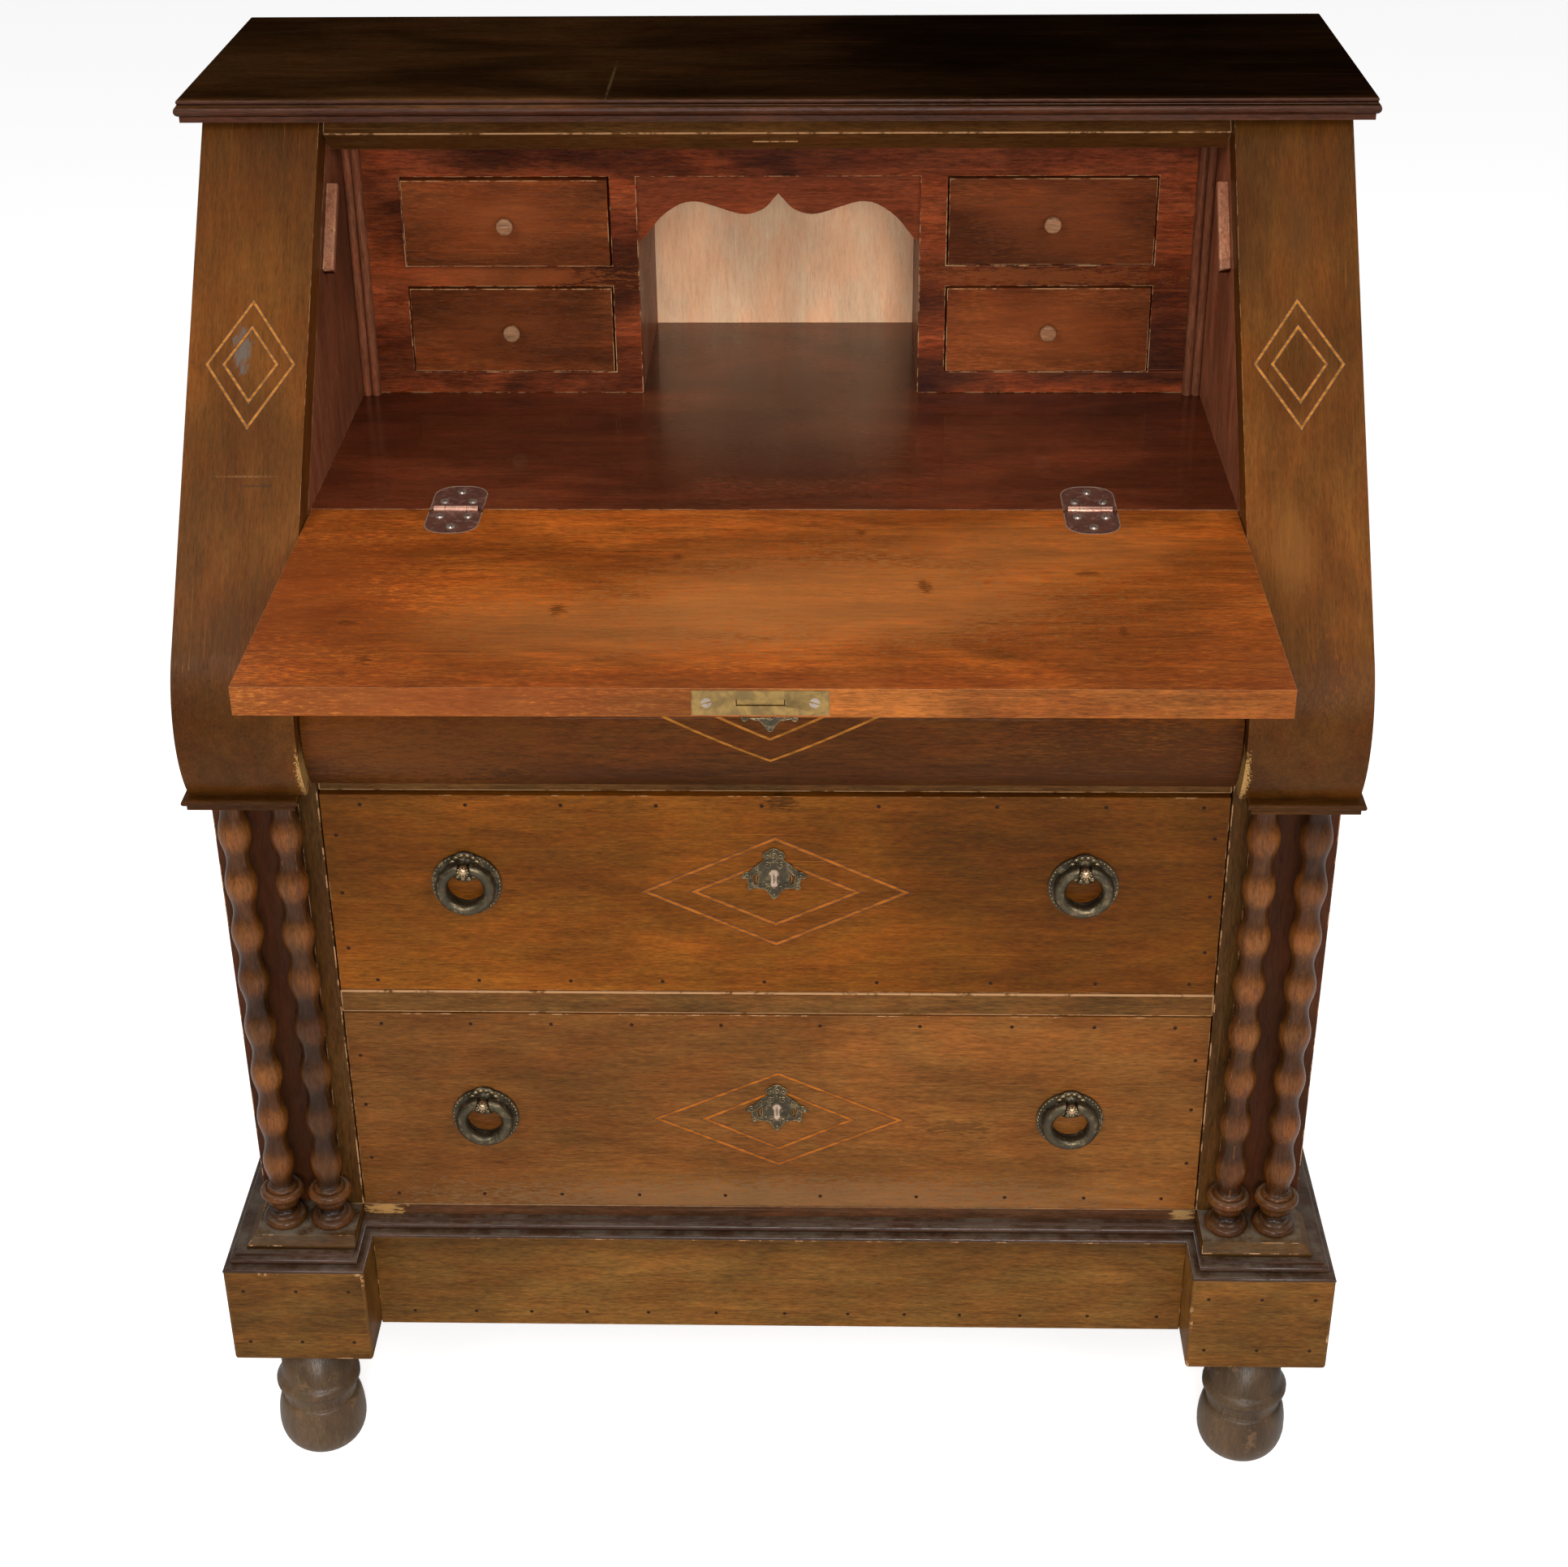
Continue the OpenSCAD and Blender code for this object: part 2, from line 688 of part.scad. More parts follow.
module leaf_plate(side, grow) {
    end_r = leaf_w * 0.42;
    w = leaf_w / 2 + grow;
    reach = leaf_l + grow;
    r = end_r + grow;
    translate([0, 0, -leaf_t]) linear_extrude(leaf_t + (grow > 0 ? past : 0)) union() {
        translate([-w, side > 0 ? 0 : -(reach - r)]) square([2 * w, reach - r]);
        for (x = [-w + r, w - r]) translate([x, side * (reach - r)]) circle(r);
        translate([-w + r, side > 0 ? 0 : -reach]) square([2 * (w - r), reach]);
    }
}

// Pocket for one leaf and for its half of the knuckle, cut from the bed (1) or from the flap (-1)
module leaf_pocket(side) {
    translate([hinge_x, hinge_y, writing_h]) {
        leaf_plate(side, let_in);
        rotate([0, 90, 0]) cylinder(r = knuckle_r + 0.5, h = knuckle_l + 1, center = true);
    }
}

module knuckle_part(x0, x1) {
    translate([x0, 0, 0]) rotate([0, 90, 0]) cylinder(r = knuckle_r, h = x1 - x0);
}

module leaf_body(side) {
    difference() {
        leaf_plate(side, 0);
        rotate([0, 90, 0]) cylinder(r = knuckle_r + 0.4, h = knuckle_l + 0.6, center = true);
        translate([-leaf_w, side > 0 ? -2 * past : -0.4, -past - leaf_t]) cube([2 * leaf_w, 2 * past + 0.4, 3 * past + leaf_t]);
    }
}

module leaf_neck(side, x0, x1) {
    y0 = side > 0 ? 0 : -knuckle_r - 1;
    translate([x0, y0, -leaf_t]) cube([x1 - x0, knuckle_r + 1, leaf_t]);
}

module hinge_bore(r) {
    rotate([0, 90, 0]) cylinder(r = r, h = knuckle_l + 2, center = true);
}

module bed_hinge() {
    half = knuckle_l / 2;
    color("#8c4d36") difference() {
        union() {
            leaf_body(1);
            for (x = [-half, half - outer_knuckle_l]) {
                knuckle_part(x, x + outer_knuckle_l);
                leaf_neck(1, x, x + outer_knuckle_l);
            }
        }
        hinge_bore(pin_r);
    }
    color("#b5836a") rotate([0, 90, 0]) cylinder(r = pin_r, h = knuckle_l, center = true);
}

module bed_hinges() {
    for (x = [-hinge_x, hinge_x]) translate([x, hinge_y, writing_h]) bed_hinge();
}

module flap_hinge_leaves() {
    half = knuckle_l / 2 - outer_knuckle_l - knuckle_gap;
    for (x = [-hinge_x, hinge_x]) translate([x, hinge_y, writing_h]) color("#8c4d36") difference() {
        union() {
            leaf_body(-1);
            knuckle_part(-half, half);
            leaf_neck(-1, -half, half);
        }
        hinge_bore(pin_r + pin_gap);
    }
}

// Flap, drawn open and level. Its lock sits in the front edge, and its outer face is underneath.
flap_lock_w = 81;
flap_lock_h = 16;
flap_lock_t = 2;
flap_case_w = 60;
flap_case_h = 11;
flap_case_deep = 34;
flap_bolt_w = 28;
flap_bolt_t = 3.6;
flap_bolt_l = 24;
flap_x = open_x - flap_gap;
flap_y0 = hinge_y - flap_l;
flap_mid_z = writing_h - flap_t / 2;
flap_key_y = flap_y0 + 22;

// Keyhole through h, upright in the XY plane
module keyhole(h) {
    translate([0, 3.2, 0]) cylinder(r = 3.6, h = h);
    translate([0, -5.6, 0]) cylinder(r = 3, h = h);
    translate([-2.4, -5.6, 0]) cube([4.8, 8.8, h]);
}

module flap() {
    color("#8a4c22") difference() {
        block(-flap_x, flap_x, flap_y0, hinge_y - 0.4, writing_h - flap_t, writing_h);
        both_sides() leaf_pocket(-1);
        block(-flap_lock_w / 2 - let_in, flap_lock_w / 2 + let_in, flap_y0 - past, flap_y0 + flap_lock_t,
            flap_mid_z - flap_lock_h / 2 - let_in, flap_mid_z + flap_lock_h / 2 + let_in);
        block(-flap_case_w / 2 - let_in, flap_case_w / 2 + let_in, flap_y0, flap_y0 + flap_case_deep + let_in,
            flap_mid_z - flap_case_h / 2 - let_in, flap_mid_z + flap_case_h / 2 + let_in);
        translate([0, flap_key_y, writing_h - flap_t - past]) mirror([0, 1, 0]) keyhole(flap_t / 2);
    }
}

module flap_lock() {
    color("#9c7a2e") difference() {
        union() {
            block(-flap_lock_w / 2, flap_lock_w / 2, flap_y0, flap_y0 + flap_lock_t,
                flap_mid_z - flap_lock_h / 2, flap_mid_z + flap_lock_h / 2);
            block(-flap_case_w / 2, flap_case_w / 2, flap_y0 + flap_lock_t / 2, flap_y0 + flap_case_deep,
                flap_mid_z - flap_case_h / 2, flap_mid_z + flap_case_h / 2);
        }
        block(-flap_bolt_w / 2 - 0.5, flap_bolt_w / 2 + 0.5, flap_y0 - past, flap_y0 + flap_bolt_l + 2.5,
            flap_mid_z - flap_bolt_t / 2 - 0.4, flap_mid_z + flap_bolt_t / 2 + 0.4);
        translate([0, flap_key_y, flap_mid_z - flap_case_h / 2 - past]) mirror([0, 1, 0])
            keyhole(flap_case_h / 2);
    }
}

module flap_bolt() {
    color("#b08a5a") block(-flap_bolt_w / 2, flap_bolt_w / 2, flap_y0 + 1.2, flap_y0 + 1.2 + flap_bolt_l,
        flap_mid_z - flap_bolt_t / 2, flap_mid_z + flap_bolt_t / 2);
}

// Pierced key plate: crown, shield with the keyhole, an arm on each side and a drop below
module key_plate(h) {
    difference() {
        union() {
            translate([0, 19.4, 0]) cylinder(r = 4.8, h = h);
            both_sides() translate([4.2, 18.4, 0]) cylinder(r = 3.3, h = h);
            translate([-5, 10, 0]) cube([10, 8, h]);
            translate([0, 5, 0]) cylinder(r = 9.6, h = h);
            translate([0, -3, 0]) cylinder(r = 9.2, h = h);
            linear_extrude(h) polygon([[-9, -5], [9, -5], [1.6, -15.6], [-1.6, -15.6]]);
            translate([0, -15, 0]) cylinder(r = 1.8, h = h);
            both_sides() {
                linear_extrude(h) polygon([[4, 17], [12, 10.5], [18, 4.6], [19, 0], [17.6, -7], [8, -9], [5, 5]]);
                translate([19, 2.2, 0]) cylinder(r = 2.5, h = h);
                translate([21.2, 1.4, 0]) cylinder(r = 1.6, h = h);
                translate([16.6, -7.4, 0]) cylinder(r = 2, h = h);
            }
        }
        translate([0, 0, -past]) keyhole(h + 2 * past);
        both_sides() translate([0, 0, -past]) linear_extrude(h + 2 * past)
            polygon([[10.6, 5.6], [15.6, 1.6], [14, -5.6], [11, -5.6]]);
    }
}

module flap_escutcheon() {
    color("#4f4330") translate([0, flap_key_y, writing_h - flap_t - escutcheon_t]) mirror([0, 1, 0])
        key_plate(escutcheon_t);
}

// Drawer locks. Each case is let into the back of its front, under a strip on the upper edge.
lock_w = 46;
lock_t = 10;
lock_strip_w = 64;
lock_strip_t = 2;
lock_bolt_w = 22;
lock_bolt_t = 4.4;
lock_bolt_l = 48;
lock_low = 14;
drawer_bolt_y = drawer_y + front_t - lock_t / 2;

module lock_case(y1, z_key, z1) {
    y = y1 - lock_t / 2;
    difference() {
        union() {
            block(-lock_w / 2, lock_w / 2, y1 - lock_t, y1, z_key - lock_low, z1);
            block(-lock_strip_w / 2, lock_strip_w / 2, y1 - lock_t, y1, z1 - lock_strip_t, z1);
        }
        block(-lock_bolt_w / 2 - 0.5, lock_bolt_w / 2 + 0.5, y - lock_bolt_t / 2 - 0.4, y + lock_bolt_t / 2 + 0.4,
            z1 - lock_bolt_l - 2, z1 + past);
        translate([0, y, z_key]) rotate([90, 0, 0]) keyhole(lock_t);
    }
}

module lock_pocket(y1, z_key, z1) {
    block(-lock_w / 2 - let_in, lock_w / 2 + let_in, y1 - lock_t - let_in, y1 + past,
        z_key - lock_low - let_in, z1 + past);
    block(-lock_strip_w / 2 - let_in, lock_strip_w / 2 + let_in, y1 - lock_t - let_in, y1 + past,
        z1 - lock_strip_t - let_in, z1 + past);
    translate([0, y1, z_key]) rotate([90, 0, 0]) keyhole(2 * roll_r);
}

module lock_bolt(y1, z1) {
    y = y1 - lock_t / 2;
    block(-lock_bolt_w / 2, lock_bolt_w / 2, y - lock_bolt_t / 2, y + lock_bolt_t / 2,
        z1 - 0.5 - lock_bolt_l, z1 - 0.5);
}

// Sides, back and bottom of a drawer, from the back of its front
module drawer_box(x, y0, y1, z0, h, wall, floor_h) {
    lift = 4;
    both_sides() block(x - wall, x, y0, y1, z0, z0 + h);
    block(wall - x, x - wall, y1 - wall, y1, z0 + lift, z0 + h - 4);
    block(wall - x, x - wall, y0, y1 - wall, z0 + lift, z0 + lift + floor_h);
}

// Flat drawer front with its lock pocket
module flat_front(z0, h, z_key) {
    difference() {
        block(-drawer_x, drawer_x, drawer_y, drawer_y + front_t, z0, z0 + h);
        lock_pocket(drawer_y + front_t, z_key, z0 + h);
    }
}

// Backplate of a ring pull: flat ring, rosette, post with its cross bore, and ball.
// Local origin at the ring's centre on the drawer's face, with -Y towards the user.
rosette_r = 11.8;
rosette_t = 3.2;
post_r = 3.4;
ring_pin_y = rosette_t + 0.6 + ring_bar_r;

module pull_plate() {
    difference() {
        union() {
            rotate([90, 0, 0]) linear_extrude(plate_t) difference() {
                circle(plate_r);
                circle(plate_hole_r);
            }
            translate([0, 0, ring_r - 2.4]) rotate([90, 0, 0]) cylinder(r = rosette_r, h = rosette_t);
            translate([0, 0, ring_r]) rotate([90, 0, 0]) cylinder(r = post_r, h = ring_pin_y + 3.4);
            translate([0, -ring_pin_y - 3.6, ring_r]) sphere(3.9);
        }
        translate([0, -ring_pin_y, ring_r]) rotate([0, 90, 0])
            cylinder(r = ring_pin_r + pin_gap, h = 12, center = true);
    }
}

module pull_ring() {
    gap = post_r + 1;
    translate([0, -ring_pin_y, 0]) {
        difference() {
            rotate([90, 0, 0]) rotate_extrude() translate([ring_r, 0]) circle(ring_bar_r, $fn = 32);
            translate([-gap, -10, ring_r / 2]) cube([2 * gap, 20, ring_r]);
        }
        translate([0, 0, ring_r]) rotate([0, 90, 0]) cylinder(r = ring_pin_r, h = 2 * gap + 3, center = true);
    }
}

module fittings(z_pull) {
    color("#4b4032") {
        for (x = [-pull_x, pull_x]) translate([x, drawer_y, z_pull]) pull_plate();
        translate([0, drawer_y, z_pull + key_up]) rotate([90, 0, 0]) key_plate(escutcheon_t);
    }
}

module ring_at(x, z_pull) {
    color("#544838") translate([x, drawer_y, z_pull]) pull_ring();
}

// Top drawer, behind the roll
top_drawer_x = open_x - front_gap;
top_front_y1 = slant_y(z_top_drawer + top_front_h, flap_recess) + front_t + 2;
top_bolt_y = top_front_y1 - lock_t / 2;
z_top_key = roll_z + 20;
z_top_edge = z_top_drawer + top_front_h;
top_key_turn = roll_angle(z_top_key, flap_recess);

module top_drawer_front() {
    color("#5c3a1e") difference() {
        behind_slant(flap_recess, -top_drawer_x, top_drawer_x, z_top_drawer, z_top_edge);
        block(-case_w, case_w, top_front_y1, back_y + past, 0, z_top);
        lock_pocket(top_front_y1, z_top_key, z_top_edge);
    }
}

module top_drawer_box() {
    color("#8f6a42") drawer_box(top_drawer_x, top_front_y1, box_end_y, z_ledge + run_gap, top_front_h - 12,
        box_t, box_floor_t);
}

module top_drawer_escutcheon() {
    color("#4b4032") translate([0, roll_y + roll_r, roll_z]) rotate([-top_key_turn, 0, 0]) difference() {
        intersection() {
            rotate([90, 0, 0]) key_plate(roll_r);
            rotate([0, 90, 0]) cylinder(r = roll_r - flap_recess + escutcheon_t, h = 2 * roll_r, center = true, $fn = 180);
        }
        rotate([0, 90, 0]) cylinder(r = roll_r - flap_recess, h = 3 * roll_r, center = true, $fn = 180);
    }
}

module top_drawer_lock() {
    color("#9c7a2e") lock_case(top_front_y1, z_top_key, z_top_edge);
}

module top_drawer_bolt() { color("#b08a5a") lock_bolt(top_front_y1, z_top_edge); }

// Upper drawer
z_upper_pull = z_upper + upper_pull_h;
z_upper_edge = z_upper + upper_front_h;

module upper_drawer_front() {
    color("#74451d") flat_front(z_upper, upper_front_h, z_upper_pull + key_up);
}

module upper_drawer_box() {
    color("#8f6a42") drawer_box(drawer_x - 0.5, drawer_y + front_t, box_end_y, z_upper - front_gap + run_gap,
        upper_front_h - 16, box_t, box_floor_t);
}

module upper_drawer_fittings() { fittings(z_upper_pull); }

module upper_drawer_lock() {
    color("#9c7a2e") lock_case(drawer_y + front_t, z_upper_pull + key_up, z_upper_edge);
}

module upper_drawer_bolt() { color("#b08a5a") lock_bolt(drawer_y + front_t, z_upper_edge); }

module upper_left_ring() { ring_at(-pull_x, z_upper_pull); }

module upper_right_ring() { ring_at(pull_x, z_upper_pull); }

// Lower drawer
z_lower_pull = z_lower + lower_pull_h;
z_lower_edge = z_lower + lower_front_h;

module lower_drawer_front() {
    color("#6e4220") flat_front(z_lower, lower_front_h, z_lower_pull + key_up);
}

module lower_drawer_box() {
    color("#8f6a42") drawer_box(drawer_x - 0.5, drawer_y + front_t, box_end_y, z_lower - front_gap + run_gap,
        lower_front_h - 16, box_t, box_floor_t);
}

module lower_drawer_fittings() { fittings(z_lower_pull); }

module lower_drawer_lock() {
    color("#9c7a2e") lock_case(drawer_y + front_t, z_lower_pull + key_up, z_lower_edge);
}

module lower_drawer_bolt() { color("#b08a5a") lock_bolt(drawer_y + front_t, z_lower_edge); }

module lower_left_ring() { ring_at(-pull_x, z_lower_pull); }

module lower_right_ring() { ring_at(pull_x, z_lower_pull); }

// Small drawers with a turned knob
module knob() {
    rotate([90, 0, 0]) rotate_extrude() polygon(concat(
        [[0, 0], [4, 0], [3, 3], [3, 5]],
        arc(3.6, 8, 2.7, -90, 50, 8),
        [[0, 10.6]]
    ));
}

module small_drawer(side, z, out) {
    x = side * (small_x0 + small_w / 2);
    half = small_w / 2;
    y0 = pigeon_y - 2;
    translate([x, -out, 0]) {
        color("#6e3317") block(-half, half, y0, y0 + small_front_t, z, z + small_h);
        color("#8f6a42") drawer_box(half - 0.6, y0 + small_front_t, inside_y - 10,
            z - front_gap + run_gap, small_h - 6, small_side_t, 3);
        color("#a87a4e") translate([0, y0, z + small_h / 2]) knob();
    }
}

module small_drawer_upper_left() { small_drawer(-1, z_small_high, ajar); }

module small_drawer_lower_left() { small_drawer(-1, z_small_low, 0); }

module small_drawer_upper_right() { small_drawer(1, z_small_high, 0); }

module small_drawer_lower_right() { small_drawer(1, z_small_low, 0); }

top_board();
top_rail();
left_side_panel();
right_side_panel();
left_slant_stile();
right_slant_stile();
inner_walls();
flap_stops();
case_back();
writing_bed();
bed_rail();
column_ledges();
column_panels();
front_stiles();
left_outer_column();
left_inner_column();
right_inner_column();
right_outer_column();
drawer_rails();
bottom_board();
drawer_runners();
plinth_blocks();
plinth_boards();
plinth_apron();
plinth_moulding();
column_slabs();
ball_feet();
pigeonhole_frame();
pigeonhole_boards();
cubby_valance();
pilaster_beads();
bed_hinges();
flap();
flap_hinge_leaves();
flap_lock();
flap_escutcheon();
flap_bolt();
top_drawer_front();
top_drawer_box();
top_drawer_escutcheon();
top_drawer_lock();
top_drawer_bolt();
upper_drawer_front();
upper_drawer_box();
upper_drawer_fittings();
upper_drawer_lock();
upper_drawer_bolt();
upper_left_ring();
upper_right_ring();
lower_drawer_front();
lower_drawer_box();
lower_drawer_fittings();
lower_drawer_lock();
lower_drawer_bolt();
lower_left_ring();
lower_right_ring();
small_drawer_upper_left();
small_drawer_lower_left();
small_drawer_upper_right();
small_drawer_lower_right();
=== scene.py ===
"""Looks of a slant-front desk: worn wood, string inlay, bronze pulls, locks and hinges, and its stage."""
import json
import math
from functools import cache

import bmesh
import bpy
from bpy.props import FloatProperty, FloatVectorProperty, IntProperty, PointerProperty
from mathutils import Matrix, Vector
from mathutils.bvhtree import BVHTree


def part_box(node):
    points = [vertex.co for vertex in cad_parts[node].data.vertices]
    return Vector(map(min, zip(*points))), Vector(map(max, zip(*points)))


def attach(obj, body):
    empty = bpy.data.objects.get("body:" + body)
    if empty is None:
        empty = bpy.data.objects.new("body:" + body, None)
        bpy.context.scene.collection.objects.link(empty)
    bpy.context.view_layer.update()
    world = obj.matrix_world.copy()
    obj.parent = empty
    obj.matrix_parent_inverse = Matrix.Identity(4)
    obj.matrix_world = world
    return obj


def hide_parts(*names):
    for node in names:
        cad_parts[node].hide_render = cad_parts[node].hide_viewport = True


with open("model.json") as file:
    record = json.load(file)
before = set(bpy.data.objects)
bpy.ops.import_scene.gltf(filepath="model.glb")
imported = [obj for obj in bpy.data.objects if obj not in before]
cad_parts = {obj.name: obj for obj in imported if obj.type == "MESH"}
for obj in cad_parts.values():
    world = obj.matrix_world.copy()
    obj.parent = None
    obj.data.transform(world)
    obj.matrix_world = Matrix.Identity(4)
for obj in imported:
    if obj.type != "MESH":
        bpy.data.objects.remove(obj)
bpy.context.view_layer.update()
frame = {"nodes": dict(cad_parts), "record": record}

NODES = frame["nodes"]
BODY_OF = {node: body for body, nodes in frame["record"]["behaviour"]["bodies"].items() for node in nodes}
MM = 0.001
SIDES = {"left": -1, "right": 1}
OUT = Vector((0, -1, 0))

bl_info = {
    "name": "Slant-front desk",
    "version": (1, 0, 0),
    "blender": (4, 5, 0),
    "location": "View3D > Sidebar > Desk",
    "description": "Dresses the frame of a slant-front desk",
    "category": "Object",
}


# ---- places taken from the frame

def low(node):
    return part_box(node)[0]


def high(node):
    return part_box(node)[1]


def middle(node):
    return (low(node) + high(node)) / 2


FLAP_TOP = high("flap").z
FLAP_FRONT = low("flap").y
OPEN_X = low("right_slant_stile").x
TOP_FRONT = low("top_board").y
HINGE_Y = low("writing_bed").y


# ---- measures kept here

SLANT = math.radians(41)  # of the stiles, from the vertical
STILE_X = 0.3535  # middle of a slanted stile
STILE_DIAMOND_Z = 0.860
SEAM_SHADOW = 0.9 * MM  # how much wider the dark band round an inlaid line is than the line: partly a dark joint, partly painted shadow of its groove
SEAM_SHADOW_RISE = 0.3  # its height, as a share of the line's
LINE_DEPTH = 0.4 * MM
LINE_STEP = 4 * MM
ROUND = ((0, 1), (1, 2), (2, 3), (3, 0))  # each of four corners with the next
RING_TO_CENTRE = 21.5 * MM  # from the foot of a ring up to the middle of its plate
CENTRE_TO_PIN = 17.2 * MM
PIN_TO_ROSETTE = 2.4 * MM
BALL_FROM = 8.6 * MM  # a pull is a light ball from here outwards: metal worn bright, and a painted highlight
KEY_TOP = 24.2 * MM  # from the keyhole to the top of its plate
KEY_REACH = 30 * MM  # a key plate is nearer the middle than this
HINGE_X = 0.215
SCREW_TURN = 1.3  # a slot stands up to so many radians askew
KNUCKLE_REACH = 4.2 * MM
KNUCKLE_ROOM = 6 * MM  # the filler round a hinge leaf stops this far from the pin
TRIMMED = {"flap_escutcheon": FLAP_FRONT + 0.9 * MM}  # its crest ends here, to clear the top rail when closed
WELD = 1e-5
EASED_FROM = math.radians(38)  # sharper edges are eased
FLAT = math.radians(0.6)  # facets that turn less are one face
FLOOR_REACH = 30
FLOOR_LIFT = 0.66  # light added to the floor for the camera alone
MIRRORED_ROOM = 0.3  # how bright the room is in reflections

# Wear of the slanted stiles: across from their middle, height, half width, half height, stain, strength
WEAR = {
    "left": [(-0.006, 0.868, 0.006, 0.012, (0.10, 0.082, 0.066), 0.9),
             (0.002, 0.800, 0.020, 0.0006, (0.22, 0.11, 0.04), 0.4),
             (0.010, 0.795, 0.016, 0.0008, (0.05, 0.02, 0.008), 0.7),
             (-0.012, 0.790, 0.001, 0.022, (0.05, 0.02, 0.008), 0.5),
             (-0.004, 0.720, 0.012, 0.045, (0.07, 0.026, 0.006), 0.5)],
    "right": [(0.004, 0.930, 0.010, 0.05, (0.075, 0.028, 0.007), 0.45),
              (-0.008, 0.760, 0.012, 0.05, (0.17, 0.066, 0.014), 0.4),
              (0.012, 0.700, 0.009, 0.03, (0.055, 0.02, 0.006), 0.5)],
}
# Dark spots of the flap: x, y, half width, half depth
SPOTS = [(-0.13, -0.22, 0.006, 0.009), (0.205, -0.165, 0.009, 0.004), (-0.24, -0.29, 0.006, 0.008),
         (0.10, -0.185, 0.005, 0.011), (-0.06, -0.14, 0.004, 0.005), (0.06, -0.10, 0.004, 0.006),
         (-0.26, -0.24, 0.008, 0.003), (0.22, -0.25, 0.003, 0.007)]
# How light each small drawer's front is
SMALL_DRAWERS = {"upper_left": 1.0, "lower_left": 0.68, "upper_right": 0.64, "lower_right": 0.9}
# Scrolls of a key plate in mm from its keyhole: x, z, first and last radius, first angle and sweep in degrees
SCROLLS = [(0.0, 19.4, 3.0, 0.7, 90, 560), (4.9, 17.6, 2.1, 0.5, 200, -430), (4.6, 10.8, 2.9, 0.6, 60, 470),
           (6.9, 1.0, 6.6, 4.8, -50, 100), (4.6, -8.4, 2.7, 0.6, 250, -430), (18.9, 1.8, 2.3, 0.6, 150, 430),
           (16.4, -7.0, 1.7, 0.5, 90, -400), (11.6, 8.6, 1.8, 0.5, 250, 400)]


# ---- what a user would change

def tone(name, description, default):
    return FloatVectorProperty(name=name, description=description, default=default, size=3, min=0, max=1,
                               subtype="COLOR")


def length(name, description, default):
    return FloatProperty(name=name, description=description, default=default * MM, min=0, unit="LENGTH",
                         precision=5)


def turn(name, description, degrees):
    return FloatProperty(name=name, description=description, default=math.radians(degrees), subtype="ANGLE")


class DeskColours(bpy.types.PropertyGroup):
    top: tone("Top board", "Dark polish of the top board", (0.022, 0.009, 0.003))
    case: tone("Case", "Stained wood of the sides", (0.13, 0.048, 0.015))
    stile: tone("Slanted stiles", "Wood of the slanted stiles", (0.1144, 0.03884, 0.006657))
    flap: tone("Flap", "Worn orange-brown of the flap", (0.2734, 0.067, 0.0092))
    # The top drawer's dark tone is partly its wood and partly painted shadow of the open flap above it
    frieze: tone("Top drawer", "Dark curved front under the flap", (0.08083, 0.02346, 0.003029))
    drawer: tone("Upper drawer", "Front of the upper drawer", (0.15, 0.0465, 0.0045))
    drawer_low: tone("Lower drawer", "Front of the lower drawer", (0.158, 0.058, 0.0125))
    rail: tone("Rails", "Rails and stiles round the drawers", (0.1306, 0.05579, 0.01371))
    plinth: tone("Plinth", "Blocks and apron of the plinth", (0.134, 0.058, 0.0125))
    moulding: tone("Mouldings", "Dark mouldings of the plinth", (0.043, 0.0175, 0.0078))
    turned: tone("Columns", "Turned columns", (0.122, 0.041, 0.0085))
    foot: tone("Feet", "Scuffed ball feet", (0.072, 0.042, 0.021))
    panel: tone("Column panels", "Dark red boards behind the columns", (0.062, 0.02, 0.008))
    bed: tone("Writing bed", "Glossy red-brown bed", (0.088, 0.0185, 0.0062))
    inside: tone("Inner boards", "Red boards of the writing compartment", (0.172, 0.058, 0.029))
    pigeonhole: tone("Pigeonhole frame", "Red frame round the small drawers", (0.26, 0.055, 0.017))
    small_front: tone("Small drawers", "Fronts of the small drawers", (0.155, 0.038, 0.0095))
    back: tone("Back board", "Pale board behind the cubby holes", (0.95, 0.58, 0.37))
    pale: tone("Plain wood", "Unstained wood of backs and drawer boxes", (0.46, 0.26, 0.13))
    raw: tone("Worn edge", "Bare wood where an edge is worn", (0.45, 0.24, 0.11))
    inlay: tone("String lines", "Orange-brown inlaid lines", (0.34, 0.125, 0.018))
    bronze: tone("Dark bronze", "Tarnished bronze of pulls and key plates", (0.080, 0.061, 0.034))
    guide: tone("Key guide", "Pale worn plate seen through a keyhole", (0.55, 0.38, 0.27))
    # The ball's light coppery tone is partly metal worn bright and partly a painted highlight
    ball: tone("Pull ball", "Rubbed coppery ball over a ring", (0.50, 0.34, 0.20))
    brass: tone("Lock brass", "Tarnished brass of the locks", (0.30, 0.185, 0.055))
    hinge: tone("Hinges", "Dark red-brown hinge leaves", (0.105, 0.037, 0.022))
    knuckle: tone("Knuckle", "Coppery rubbed knuckle", (0.4, 0.21, 0.15))
    dust: tone("Dust", "Grey dust on ledges", (0.17, 0.138, 0.1))


class DeskSizes(bpy.types.PropertyGroup):
    ease: length("Edge radius", "Rounding of the long wooden edges", 0.9)
    string_width: length("String line width", "Width of an inlaid line", 1.7)
    string_rise: length("String line rise", "How far an inlaid line stands proud", 0.08)
    nail_radius: length("Nail dot radius", "Radius of a filled nail hole", 1.5)
    bead_radius: length("Bead radius", "Radius of a bead on the pull plates", 1.05)
    bead_count: IntProperty(name="Beads", description="Beads round a pull plate", default=46, min=8, max=120)
    hinge_screw: length("Hinge screw radius", "Radius of a hinge screw head", 3.6)
    lock_screw: length("Lock screw radius", "Radius of a lock screw head", 3.7)
    petals: IntProperty(name="Petals", description="Petals of the rosette under a ring", default=10, min=4,
                        max=24)


